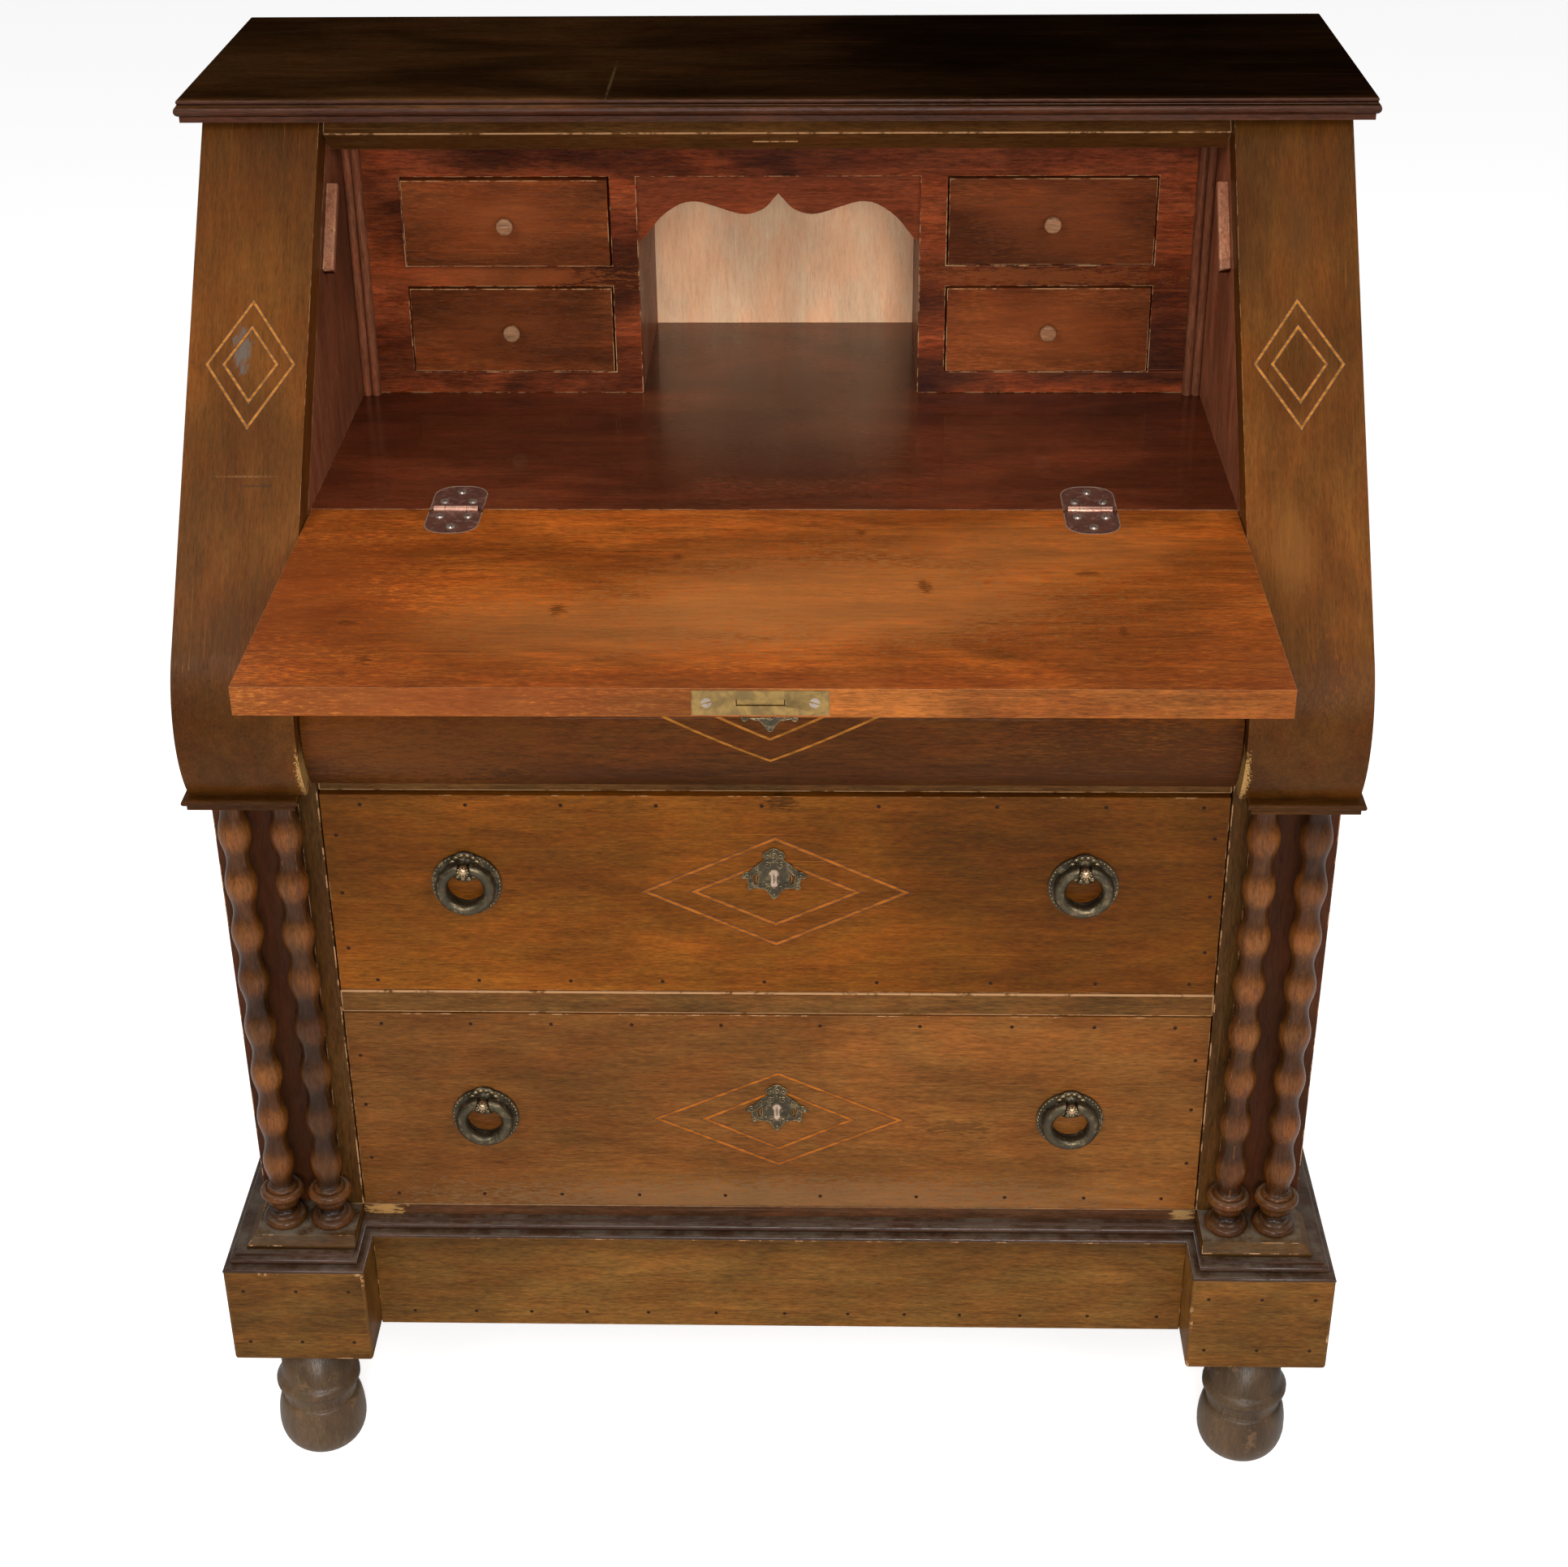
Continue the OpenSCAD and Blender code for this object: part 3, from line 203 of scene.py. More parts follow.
class DeskStage(bpy.types.PropertyGroup):
    azimuth: turn("Azimuth", "Where the camera looks, sideways", 1.58)
    pitch: turn("Pitch", "How far the camera looks down", 29.443)
    roll: turn("Roll", "Turn about the line of sight", -0.561)
    lens: FloatProperty(name="Lens", description="Focal length in millimetres on a 36 mm sensor",
                        default=57.96, min=10)
    place: FloatVectorProperty(name="Camera place", description="Where the camera stands", size=3,
                               default=(0.0498, -1.6447, 1.45), subtype="TRANSLATION", unit="LENGTH")
    lamps: FloatProperty(name="Lamp power", description="Power that each soft lamp has a share of, in watts",
                         default=38, min=0)
    ambient: FloatProperty(name="Ambient", description="Strength of the light from all round",
                           default=0.34, min=0)


# ---- nodes and finishes

class Nodes:
    """The nodes of a material, a world or a geometry tree."""

    def __init__(self, tree):
        self.tree = tree
        tree.nodes.clear()

    def put(self, socket, value):
        """Gives a socket a value, another socket's output or a node's first output."""
        if isinstance(value, bpy.types.Node):
            value = value.outputs[0]
        if isinstance(value, bpy.types.NodeSocket):
            self.tree.links.new(value, socket)
        elif socket.type == "RGBA" and len(value) == 3:
            socket.default_value = (*value, 1)
        else:
            socket.default_value = value

    def add(self, kind, inputs=(), **settings):
        """A new node with its settings; inputs go by name or number, or in order."""
        node = self.tree.nodes.new(kind)
        for key, value in settings.items():
            setattr(node, key, value)
        for key, value in inputs.items() if isinstance(inputs, dict) else enumerate(inputs):
            self.put(node.inputs[key], value)
        return node


class Finish(Nodes):
    """Builds one material's nodes, on Object coordinates."""

    def __init__(self, name, rough=0.4, metallic=0.0, coat=0.0, coat_rough=0.2, specular=0.5):
        self.material = bpy.data.materials.new(name)
        self.material.use_nodes = True
        super().__init__(self.material.node_tree)
        self.surface = self.add("ShaderNodeBsdfPrincipled", {
            "Roughness": rough, "Metallic": metallic, "Coat Weight": coat, "Coat Roughness": coat_rough,
            "Specular IOR Level": specular})
        self.add("ShaderNodeOutputMaterial", [self.surface])
        self.place = self.add("ShaderNodeTexCoord").outputs["Object"]

    def math(self, operation, *values, clamp=False):
        return self.add("ShaderNodeMath", values, operation=operation, use_clamp=clamp)

    def by(self, a, b):
        return self.math("MULTIPLY", a, b)

    def plus(self, a, b):
        return self.math("ADD", a, b)

    def vector(self, operation, *values):
        node = self.add("ShaderNodeVectorMath", values, operation=operation)
        return node.outputs["Value" if operation == "LENGTH" else "Vector"]

    def away(self, centre, radii):
        """Distance from a centre, 1 on the ellipsoid of these radii."""
        offset = self.vector("SUBTRACT", self.place, centre)
        return self.vector("LENGTH", self.vector("DIVIDE", offset, radii))

    def mapped(self, place, scale=(1, 1, 1), turn=(0, 0, 0), shift=(0, 0, 0)):
        return self.add("ShaderNodeMapping", [place, shift, turn, scale])

    def noise(self, place, scale, detail=3.0, rough=0.55, distortion=0.0):
        return self.add("ShaderNodeTexNoise", {"Vector": place, "Scale": scale, "Detail": detail,
                                               "Roughness": rough, "Distortion": distortion})

    def span(self, value, start, end, to_start=0.0, to_end=1.0, smooth=True):
        return self.add("ShaderNodeMapRange", (value, start, end, to_start, to_end),
                        interpolation_type="SMOOTHSTEP" if smooth else "LINEAR")

    def mix(self, factor, a, b, kind="MIX"):
        node = self.add("ShaderNodeMix", {0: factor, 6: a, 7: b}, data_type="RGBA", blend_type=kind)
        return node.outputs[2]

    def axis(self, letter, vector=None):
        return self.add("ShaderNodeSeparateXYZ", [self.place if vector is None else vector]).outputs[letter]

    def colour(self, value):
        self.put(self.surface.inputs["Base Color"], value)

    def roughness(self, value):
        self.put(self.surface.inputs["Roughness"], value)

    def bump(self, height, depth):
        node = self.add("ShaderNodeBump", {"Height": height, "Distance": depth, "Strength": 0.5})
        self.put(self.surface.inputs["Normal"], node)


def times(colour, factor, warm=0.0):
    """The colour made lighter or darker; warm moves it towards orange."""
    r, g, b = (min(1.0, c * factor) for c in colour[:3])
    return (min(1.0, r * (1 + warm)), g, b * (1 - warm))


def wood(name, base, grain="X", tilt=0.0, seed=0, gloss=0.36, coat=0.0, coat_rough=0.2, specular=0.07,
         contrast=1.25, blotch=0.25, pores=0.22, shade=(), marks=(), turned=None, dust=None, dusty=0.4,
         worn=None, wear=0.5, bump=1.0):
    """Stained and polished wood.
    shade holds (axis, from, to, factor, factor), marks hold (centre, radii, colour, strength) and turned
    holds (x, y, radius, radius, factor, factor) of a turned piece; dust and worn are colours."""
    f = Finish(name, coat=coat, coat_rough=coat_rough, specular=specular)
    place = f.mapped(f.place, turn=(tilt, 0, 0), shift=(seed * 1.37, seed * 0.71, seed * 2.13))

    def grained(across, *texture, shift=(0, 0, 0)):
        """Noise drawn out along the grain."""
        scale = tuple(1 if letter == grain else across for letter in "XYZ")
        return f.noise(f.mapped(place, scale=scale, shift=shift), *texture)

    wander = f.noise(place, 5.0, 2.0)
    figure = grained(7, 11.0, 4.0, 0.6, 0.7)
    streak = grained(10, 34.0, 3.0, 0.6, 0.3)
    fine = grained(6, 135.0, 3.0, 0.7)
    hair = f.span(grained(16, 90.0, 2.0, 0.5), 0.58, 0.68)
    body = f.plus(f.plus(f.by(figure, 0.27), f.by(streak, 0.27)), f.by(fine, 0.46))
    body = f.span(body, 0.5 - 0.17 / contrast, 0.5 + 0.17 / contrast, smooth=False)
    dark, lit = times(base, 0.5, 0.05), times(base, 1.55, 0.02)
    colour = f.mix(f.span(body, 0.0, 0.5, smooth=False), dark, tuple(base))
    colour = f.mix(f.span(body, 0.5, 1.0, smooth=False), colour, lit)
    hue = f.span(grained(2.5, 20.0, 3.0, 0.6, shift=(1, 8, 3)), 0.38, 0.62)
    colour = f.mix(1.0, colour, f.mix(hue, (1.04, 0.93, 0.82), (0.99, 1.01, 0.95)), "MULTIPLY")

    patch = grained(2.2, 7.0, 3.0, 0.5, 0.5, shift=(3, 5, 7))
    tint = f.by(f.span(patch, 0.33, 0.68, 1 - blotch, 1 + 0.45 * blotch),
                f.math("SUBTRACT", 1.0, f.by(hair, pores)))
    for letter, start, end, first, last in shade:
        tint = f.by(tint, f.span(f.axis(letter), start, end, first, last))
    # turned darkens a turned piece towards its axis: painted shade in its waists and a little painted
    # highlight on its swells
    if turned:
        x, y, inner, outer, first, last = turned
        reach = f.vector("LENGTH", f.vector("MULTIPLY", f.vector("SUBTRACT", f.place, (x, y, 0)), (1, 1, 0)))
        tint = f.by(tint, f.span(reach, inner, outer, first, last))
    colour = f.add("ShaderNodeVectorMath", {0: colour, "Scale": tint}, operation="SCALE")

    scratch = f.by(f.span(grained(110, 7.0, 2.0, 0.5), 0.67, 0.72), f.span(wander, 0.45, 0.6, 0.0, 0.5))
    colour = f.mix(scratch, colour, times(base, 2.2, -0.1))
    for centre, radii, stain, strength in marks:
        ragged = f.plus(f.away(centre, radii), f.by(f.math("SUBTRACT", fine, 0.5), 4.0))
        ragged = f.plus(ragged, f.by(f.math("SUBTRACT", wander, 0.5), 0.9))
        colour = f.mix(f.span(ragged, 1.05, 0.6, 0.0, strength), colour, stain)
    rough = f.span(f.noise(place, 9.0, 4.0, 0.65), 0.3, 0.7, gloss - 0.05, gloss + 0.10)
    if worn is not None:
        bare = f.noise(f.mapped(place, shift=(9, 2, 4)), 55.0, 4.0, 0.7)
        bare = f.span(bare, 0.62 - 0.25 * wear, 0.70 - 0.22 * wear, 0.0, 0.8)
        colour = f.mix(bare, f.mix(0.25, colour, lit), worn)
    if dust is not None:
        up = f.span(f.axis("Z", f.add("ShaderNodeNewGeometry").outputs["Normal"]), 0.68, 0.95)
        lying = f.by(up, f.span(f.noise(place, 40.0, 5.0, 0.7), 0.38, 0.66, 0.05, dusty))
        colour = f.mix(lying, colour, dust)
        rough = f.math("ADD", rough, f.by(lying, 0.35), clamp=True)
    f.colour(colour)
    f.roughness(rough)
    f.bump(f.math("SUBTRACT", f.by(fine, 0.6), hair), 0.00018 * bump)
    return f.material


def metal(name, base, rough, metallic, tarnish=(0.036, 0.029, 0.018), amount=0.6, bright=None):
    """Old metal: dark tarnish in patches, and lighter spots where bright is given, partly worn bright by
    handling and partly painted highlights.
    """
    f = Finish(name, rough=rough, metallic=metallic)
    cloud = f.noise(f.place, 90.0, 5.0, 0.65, 0.4)
    fine = f.noise(f.place, 620.0, 3.0, 0.6)
    colour = f.mix(f.span(cloud, 0.38, 0.62, 0.0, amount), tuple(base), tarnish)
    # Lighter spots: partly worn metal, partly painted highlights
    if bright is not None:
        colour = f.mix(f.span(f.noise(f.place, 210.0, 4.0, 0.6), 0.52, 0.66, 0.0, 0.65), colour, bright)
    f.colour(colour)
    f.roughness(f.span(fine, 0.3, 0.7, rough - 0.08, rough + 0.14))
    f.bump(f.plus(cloud, f.by(fine, 0.4)), 0.00025)
    return f.material


# ---- meshes

def linked(name, data):
    """A new object in the scene."""
    item = bpy.data.objects.new(name, data)
    bpy.context.scene.collection.objects.link(item)
    return item


def evaluated(item):
    """The plain mesh that an object's modifiers make."""
    graph = bpy.context.evaluated_depsgraph_get()
    return bpy.data.meshes.new_from_object(item.evaluated_get(graph))


def place_object(name, mesh, body, materials=()):
    """Puts a finished mesh in the scene, riding on a body."""
    item = linked(name, mesh)
    for material in materials:
        mesh.materials.append(material)
    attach(item, body)
    return item


def curve_through(points, steps):
    """A smooth line through (x, z) points, each stretch cut in equal steps."""
    points = [Vector(p) for p in points]
    ends = [2 * points[0] - points[1], *points, 2 * points[-1] - points[-2]]
    line = []
    for a, b, c, d in zip(ends, ends[1:], ends[2:], ends[3:]):
        for i in range(steps):
            t = i / steps
            line.append(0.5 * (2 * b + (c - a) * t + (2 * a - 5 * b + 4 * c - d) * t ** 2
                               + (3 * b - a - 3 * c + d) * t ** 3))
    return line + [points[-1]]


def board_of(outline, front, depth):
    """A flat form from a closed outline of (x, z) points, going back from a front."""
    bm = bmesh.new()
    face = bm.faces.new([bm.verts.new((x, front, z)) for x, z in outline])
    solid = bmesh.ops.extrude_face_region(bm, geom=[face])
    bmesh.ops.translate(bm, verts=[v for v in solid["geom"] if isinstance(v, bmesh.types.BMVert)],
                        vec=(0, depth, 0))
    bmesh.ops.recalc_face_normals(bm, faces=bm.faces)
    return bm


def scalloped(node):
    """The valance with its scallops drawn smooth through the corners of the CAD outline."""
    front, back, top = low(node).y, high(node).y, high(node).z
    corners = {(round(v.co.x, 5), round(v.co.z, 5)) for v in NODES[node].data.vertices
               if abs(v.co.y - front) < 0.1 * MM and v.co.z < top - MM}
    right = curve_through(sorted(p for p in corners if p[0] > -WELD), steps=3)
    edge = [(-p.x, p.y) for p in reversed(right)] + [(p.x, p.y) for p in right[1:]]
    return board_of(edge + [(edge[-1][0], top), (edge[0][0], top)], front, back - front)


def merged(node):
    """A CAD node as one welded mesh."""
    if node == "cubby_valance":
        return scalloped(node)
    bm = bmesh.new()
    bm.from_mesh(NODES[node].data)
    if node in TRIMMED:
        for v in bm.verts:
            v.co.y = max(v.co.y, TRIMMED[node])
    bmesh.ops.remove_doubles(bm, verts=bm.verts, dist=WELD)
    return bm


def finished_mesh(bm, name, angle=30):
    """A mesh with smooth curves and flat faces, from a bmesh."""
    mesh = bpy.data.meshes.new(name)
    bm.to_mesh(mesh)
    bm.free()
    while mesh.uv_layers:
        mesh.uv_layers.remove(mesh.uv_layers[0])
    mesh.polygons.foreach_set("use_smooth", [True] * len(mesh.polygons))
    mesh.set_sharp_from_angle(angle=math.radians(angle))
    return mesh


def dressed(node, finishes, ease=0.0, pick=None, angle=50):
    """A merged copy of a CAD node in its place, with its long edges eased by so many edge radii.
    finishes are the face, the eased edge, and those that pick(centre, normal) chooses by number."""
    ease *= bpy.context.scene.desk_sizes.ease
    bm = merged(node)
    bmesh.ops.dissolve_limit(bm, angle_limit=FLAT, verts=bm.verts, edges=bm.edges)
    for face in bm.faces:
        face.material_index = 0
    if ease:
        edges = [e for e in bm.edges if len(e.link_faces) == 2 and e.is_convex
                 and e.calc_face_angle(0) > EASED_FROM and e.calc_length() > 9 * ease]
        bmesh.ops.bevel(bm, geom=edges, offset=ease, offset_type="OFFSET", segments=2, profile=0.5,
                        affect="EDGES", clamp_overlap=True, material=1)
    if pick:
        for face in bm.faces:
            chosen = pick(face.calc_center_median(), face.normal)
            if chosen is not None:
                face.material_index = chosen
    bmesh.ops.triangulate(bm, faces=[f for f in bm.faces if len(f.verts) > 4])
    mesh = finished_mesh(bm, node + "_looks", angle)
    for material in finishes:
        mesh.materials.append(material)
    item = linked(node + "_looks", mesh)
    if ease:
        weighted = item.modifiers.new("Weighted", "WEIGHTED_NORMAL")
        weighted.keep_sharp = True
        weighted.weight = 90
        item.data = evaluated(item)
        item.modifiers.clear()
    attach(item, BODY_OF[node])
    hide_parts(node)
    return item


def board(node, slot, base, seed, ease=1.0, extra=(), pick=None, angle=50, wear=0.5, **looks):
    """A CAD node dressed in wood, its eased edges bare in places; extra are further finishes for pick."""
    face = wood(node, base, seed=seed, **looks)
    looks.pop("marks", None)
    edge = wood(node + "_edge", times(base, 0.9), seed=seed, worn=tuple(bpy.context.scene.desk_colours.raw),
                wear=wear, **looks)
    return dressed(node, [face, edge, *extra], ease, pick, angle)


@cache
def surface_tree(node):
    bm = merged(node)
    tree = BVHTree.FromBMesh(bm)
    bm.free()
    return tree


def on_front(node, x, z):
    """The point of a node's front under (x, z), and the way it faces."""
    point, normal, _, _ = surface_tree(node).ray_cast(Vector((x, -2, z)), -OUT)
    if point is None:
        raise RuntimeError(f"nothing of {node} lies behind {x:.4f}, {z:.4f}")
    return point, normal


def diamond(x, half_width, half_height, grow=0.0):
    """The corners (x, height) of a diamond whose sides are moved out by grow."""
    side = math.hypot(half_width, half_height)
    w, h = half_width + grow * side / half_height, half_height + grow * side / half_width
    return [Vector(corner) for corner in ((x - w, 0), (x, -h), (x + w, 0), (x, h))]


def strings(name, node, x, centre_z, diamonds, material, width, rise, squeeze):
    """Inlaid diamonds on a node's front; squeeze shortens their heights on a sloping one."""
    bm = bmesh.new()
    for size in diamonds:
        rows, line = [], diamond(x, *size)
        outer, inner = diamond(x, *size, width / 2), diamond(x, *size, -width / 2)
        for i, j in ROUND:
            count = round((line[j] - line[i]).length / LINE_STEP)
            for n in range(count):
                row = []
                for loop in (outer, inner):
                    across, up = loop[i].lerp(loop[j], n / count)
                    point, normal = on_front(node, across, centre_z + up * squeeze)
                    row.append((point + normal * rise, point - normal * LINE_DEPTH))
                (a_up, a_down), (b_up, b_down) = row
                rows.append([bm.verts.new(v) for v in (a_down, a_up, b_up, b_down)])
        for row, following in zip(rows, rows[1:] + rows[:1]):
            for a, b in ROUND:
                bm.faces.new((row[a], row[b], following[b], following[a]))
    bmesh.ops.recalc_face_normals(bm, faces=bm.faces)
    place_object(name, finished_mesh(bm, name), BODY_OF[node], [material])


# ---- geometry nodes for what repeats

class Tree(Nodes):
    """A geometry node tree; its further inputs are given as name=kind of socket."""

    def __init__(self, name, **inputs):
        super().__init__(bpy.data.node_groups.new(name, "GeometryNodeTree"))
        face = self.tree.interface
        face.new_socket("Geometry", in_out="OUTPUT", socket_type="NodeSocketGeometry")
        self.names = {}
        for key, kind in {"geometry": "Geometry", **inputs, "material": "Material"}.items():
            label = key.replace("_", " ").capitalize()
            socket = face.new_socket(label, in_out="INPUT", socket_type="NodeSocket" + kind)
            self.names[key] = socket.identifier
        self.given = self.add("NodeGroupInput").outputs

    def finish(self, instances):
        real = self.add("GeometryNodeRealizeInstances", [instances])
        painted = self.add("GeometryNodeSetMaterial", {"Geometry": real, "Material": self.given["Material"]})
        self.add("NodeGroupOutput", [painted])
        return self


def scattered(t, shape, turn_seed=None):
    """A shape on every point, its Z along the point's facing, turned by chance where a seed is given."""
    facing = t.add("GeometryNodeInputNamedAttribute", {"Name": "facing"}, data_type="FLOAT_VECTOR")
    rotation = t.add("FunctionNodeAlignRotationToVector", {"Vector": facing}, axis="Z")
    if turn_seed is not None:
        angle = t.add("FunctionNodeRandomValue", {2: -SCREW_TURN, 3: SCREW_TURN, "Seed": turn_seed},
                      data_type="FLOAT")
        spin = t.add("FunctionNodeAxisAngleToRotation", {"Axis": (0, 0, 1), "Angle": angle.outputs[1]})
        rotation = t.add("FunctionNodeRotateRotation", [rotation, spin], rotation_space="LOCAL")
    return t.add("GeometryNodeInstanceOnPoints",
                 {"Points": t.given["Geometry"], "Instance": shape, "Rotation": rotation})


@cache
def dome_tree():
    """Low domes on points: nail dots and beads."""
    t = Tree("Domes on points", radius="Float", rise="Float", sides="Int")
    ball = t.add("GeometryNodeMeshUVSphere", {"Segments": t.given["Sides"], "Rings": 6, "Radius": 1.0})
    size = t.add("ShaderNodeCombineXYZ", [t.given["Radius"], t.given["Radius"], t.given["Rise"]])
    shape = t.add("GeometryNodeTransform", {"Geometry": ball, "Scale": size})
    return t.finish(scattered(t, t.add("GeometryNodeSetShadeSmooth", [shape])))


@cache
def screw_tree():
    """Slotted screw heads on points."""
    t = Tree("Slotted screws", radius="Float", height="Float", slot_width="Float", slot_depth="Float",
             turn_seed="Int")

    def product(label, factor):
        return t.add("ShaderNodeMath", [t.given[label], factor], operation="MULTIPLY")

    head = t.add("GeometryNodeMeshCone", {"Vertices": 28, "Radius Top": product("Radius", 0.86),
                                          "Radius Bottom": t.given["Radius"], "Depth": t.given["Height"]},
                 fill_type="NGON")
    size = t.add("ShaderNodeCombineXYZ",
                 [product("Radius", 3.0), t.given["Slot width"], product("Slot depth", 2.0)])
    lift = t.add("ShaderNodeCombineXYZ", {"Z": t.given["Height"]})
    bar = t.add("GeometryNodeTransform", {"Geometry": t.add("GeometryNodeMeshCube", {"Size": size}),
                                          "Translation": lift})
    cut = t.add("GeometryNodeMeshBoolean", {"Mesh 1": head, "Mesh 2": bar}, operation="DIFFERENCE")
    return t.finish(scattered(t, cut, t.given["Turn seed"]))


@cache
def wire_tree():
    """Round wire along the edges it is given: rims, scrolls and beads of a casting."""
    t = Tree("Wire on edges", radius="Float", sides="Int")
    line = t.add("GeometryNodeMeshToCurve", {"Mesh": t.given["Geometry"]})
    ring = t.add("GeometryNodeCurvePrimitiveCircle",
                 {"Resolution": t.given["Sides"], "Radius": t.given["Radius"]})
    tube = t.add("GeometryNodeCurveToMesh", {"Curve": line, "Profile Curve": ring, "Fill Caps": True})
    return t.finish(t.add("GeometryNodeSetShadeSmooth", [tube]))


def grown(name, tree, node, points, slot, material, facings=None, edges=(), **values):
    """Runs a tree on points and keeps the result as one plain mesh on the node's body."""
    mesh = bpy.data.meshes.new(name + "_points")
    mesh.from_pydata([tuple(p) for p in points], edges, [])
    if facings is not None:
        facing = mesh.attributes.new("facing", "FLOAT_VECTOR", "POINT")
        facing.data.foreach_set("vector", [c for v in facings for c in v])
    carrier = linked(name + "_points", mesh)
    modifier = carrier.modifiers.new(name, "NODES")
    modifier.node_group = tree.tree
    for key, value in {**values, "material": material}.items():
        modifier[tree.names[key]] = value
    result = evaluated(carrier)
    bpy.data.objects.remove(carrier)
    if not result.polygons:
        raise RuntimeError(f"{name} came out empty")
    for attribute in [a.name for a in result.attributes if a.name in ("facing", "UVMap")]:
        result.attributes.remove(result.attributes[attribute])
    return place_object(name, result, BODY_OF[node])


def wires(name, node, slot, material, points, edges, radius):
    """Round wire that rides with a node."""
    return grown(name, wire_tree(), node, points, slot, material, edges=edges, radius=radius, sides=6)


# ---- operators

class DeskOperator:
    bl_options = {"REGISTER", "UNDO"}

    def execute(self, context):
        self.make(context.scene.desk_colours, context.scene.desk_sizes)
        return {"FINISHED"}


class DESK_OT_case(DeskOperator, bpy.types.Operator):
    """Sides, slanted stiles, top, back and rails of the case"""
    bl_idname = "desk.case"
    bl_label = "Case"

    def make(self, c, s):
        top_z = low("top_board").z
        edge = wood("top_edge", (0.050, 0.016, 0.007), seed=18, gloss=0.3, specular=0.15)
        # The top board is lighter at its left and along its front edge: painted reflection of the lamps on
        # its polish, its own specular being 0
        board("top_board", "dark_wood", c.top, 1, 1.0, [edge],
              lambda p, n: 2 if n.z < 0.6 and p.z > top_z else None,
              gloss=0.45, specular=0.0, wear=0.2, contrast=1.2, blotch=0.5,
              marks=[((-0.115, 0.13, high("top_board").z), (0.0012, 0.05, 0.02), (0.09, 0.06, 0.02), 0.45)],
              shade=[("X", -0.2, 0.15, 1.0, 0.25), ("Y", TOP_FRONT + 0.012, TOP_FRONT - 0.002, 1.0, 3.2)])
        board("top_rail", "red_wood", (0.10, 0.040, 0.011), 2, wear=0.9)
        for seed, (side, sign) in enumerate(SIDES.items(), 3):
            stile = side + "_slant_stile"
            board(side + "_side_panel", "case_wood", c.case, seed, grain="Z")
            marks = [((sign * OPEN_X, low(stile).y + 0.012, 0.622), (0.0036, 0.06, 0.020),
                      (0.40, 0.22, 0.07), 0.85)]
            for dx, z, width, height, stain, strength in WEAR[side]:
                at = on_front(stile, sign * STILE_X + dx, z)[0]
                marks.append((tuple(at), (width, 0.02, height), stain, strength))
            # The stiles get darker towards the top, and towards the roll at their foot as painted shade
            board(stile, "case_wood", c.stile, seed + 2, grain="Z", tilt=SLANT, blotch=0.35, contrast=0.8,
                  shade=[("Z", 0.83, top_z, 1.0, 0.62), ("Z", 0.74, 0.66, 1.0, 0.62)], marks=marks, wear=0.55)
        board("case_back", "pale_wood", c.back, 9, grain="Z", gloss=0.6, blotch=0.2, contrast=0.4, pores=0.05)
        board("bed_rail", "case_wood", times(c.case, 0.8), 10)
        board("column_ledges", "case_wood", times(c.stile, 0.42), 11, 0.5, wear=0.7)
        board("column_panels", "dark_wood", c.panel, 12, grain="Z", contrast=0.7)
        board("front_stiles", "dark_wood", times(c.rail, 0.5), 13, grain="Z", wear=0.6)
        board("drawer_rails", "dark_wood", times(c.rail, 0.8), 14, 1.5, wear=1.05,
              shade=[("Y", -0.10, 0.02, 1.0, 2.2)])
        front = low("bottom_board").y
        patches = [((-0.303, front, 0.212), (0.014, 0.02, 0.012), (0.36, 0.19, 0.06), 0.9),
                   ((0.309, front, 0.212), (0.008, 0.02, 0.01), (0.34, 0.19, 0.07), 0.8)]
        strip = wood("bottom_strip", times(c.moulding, 1.5), seed=17, marks=patches, dust=tuple(c.dust),
                     dusty=0.5)
        board("bottom_board", "pale_wood", times(c.pale, 0.8), 15, 0.0, [strip],
              lambda p, n: 2 if p.y < front + 0.001 else None, gloss=0.6)
        board("drawer_runners", "pale_wood", times(c.pale, 0.7), 16, 0.0, grain="Y", gloss=0.6)


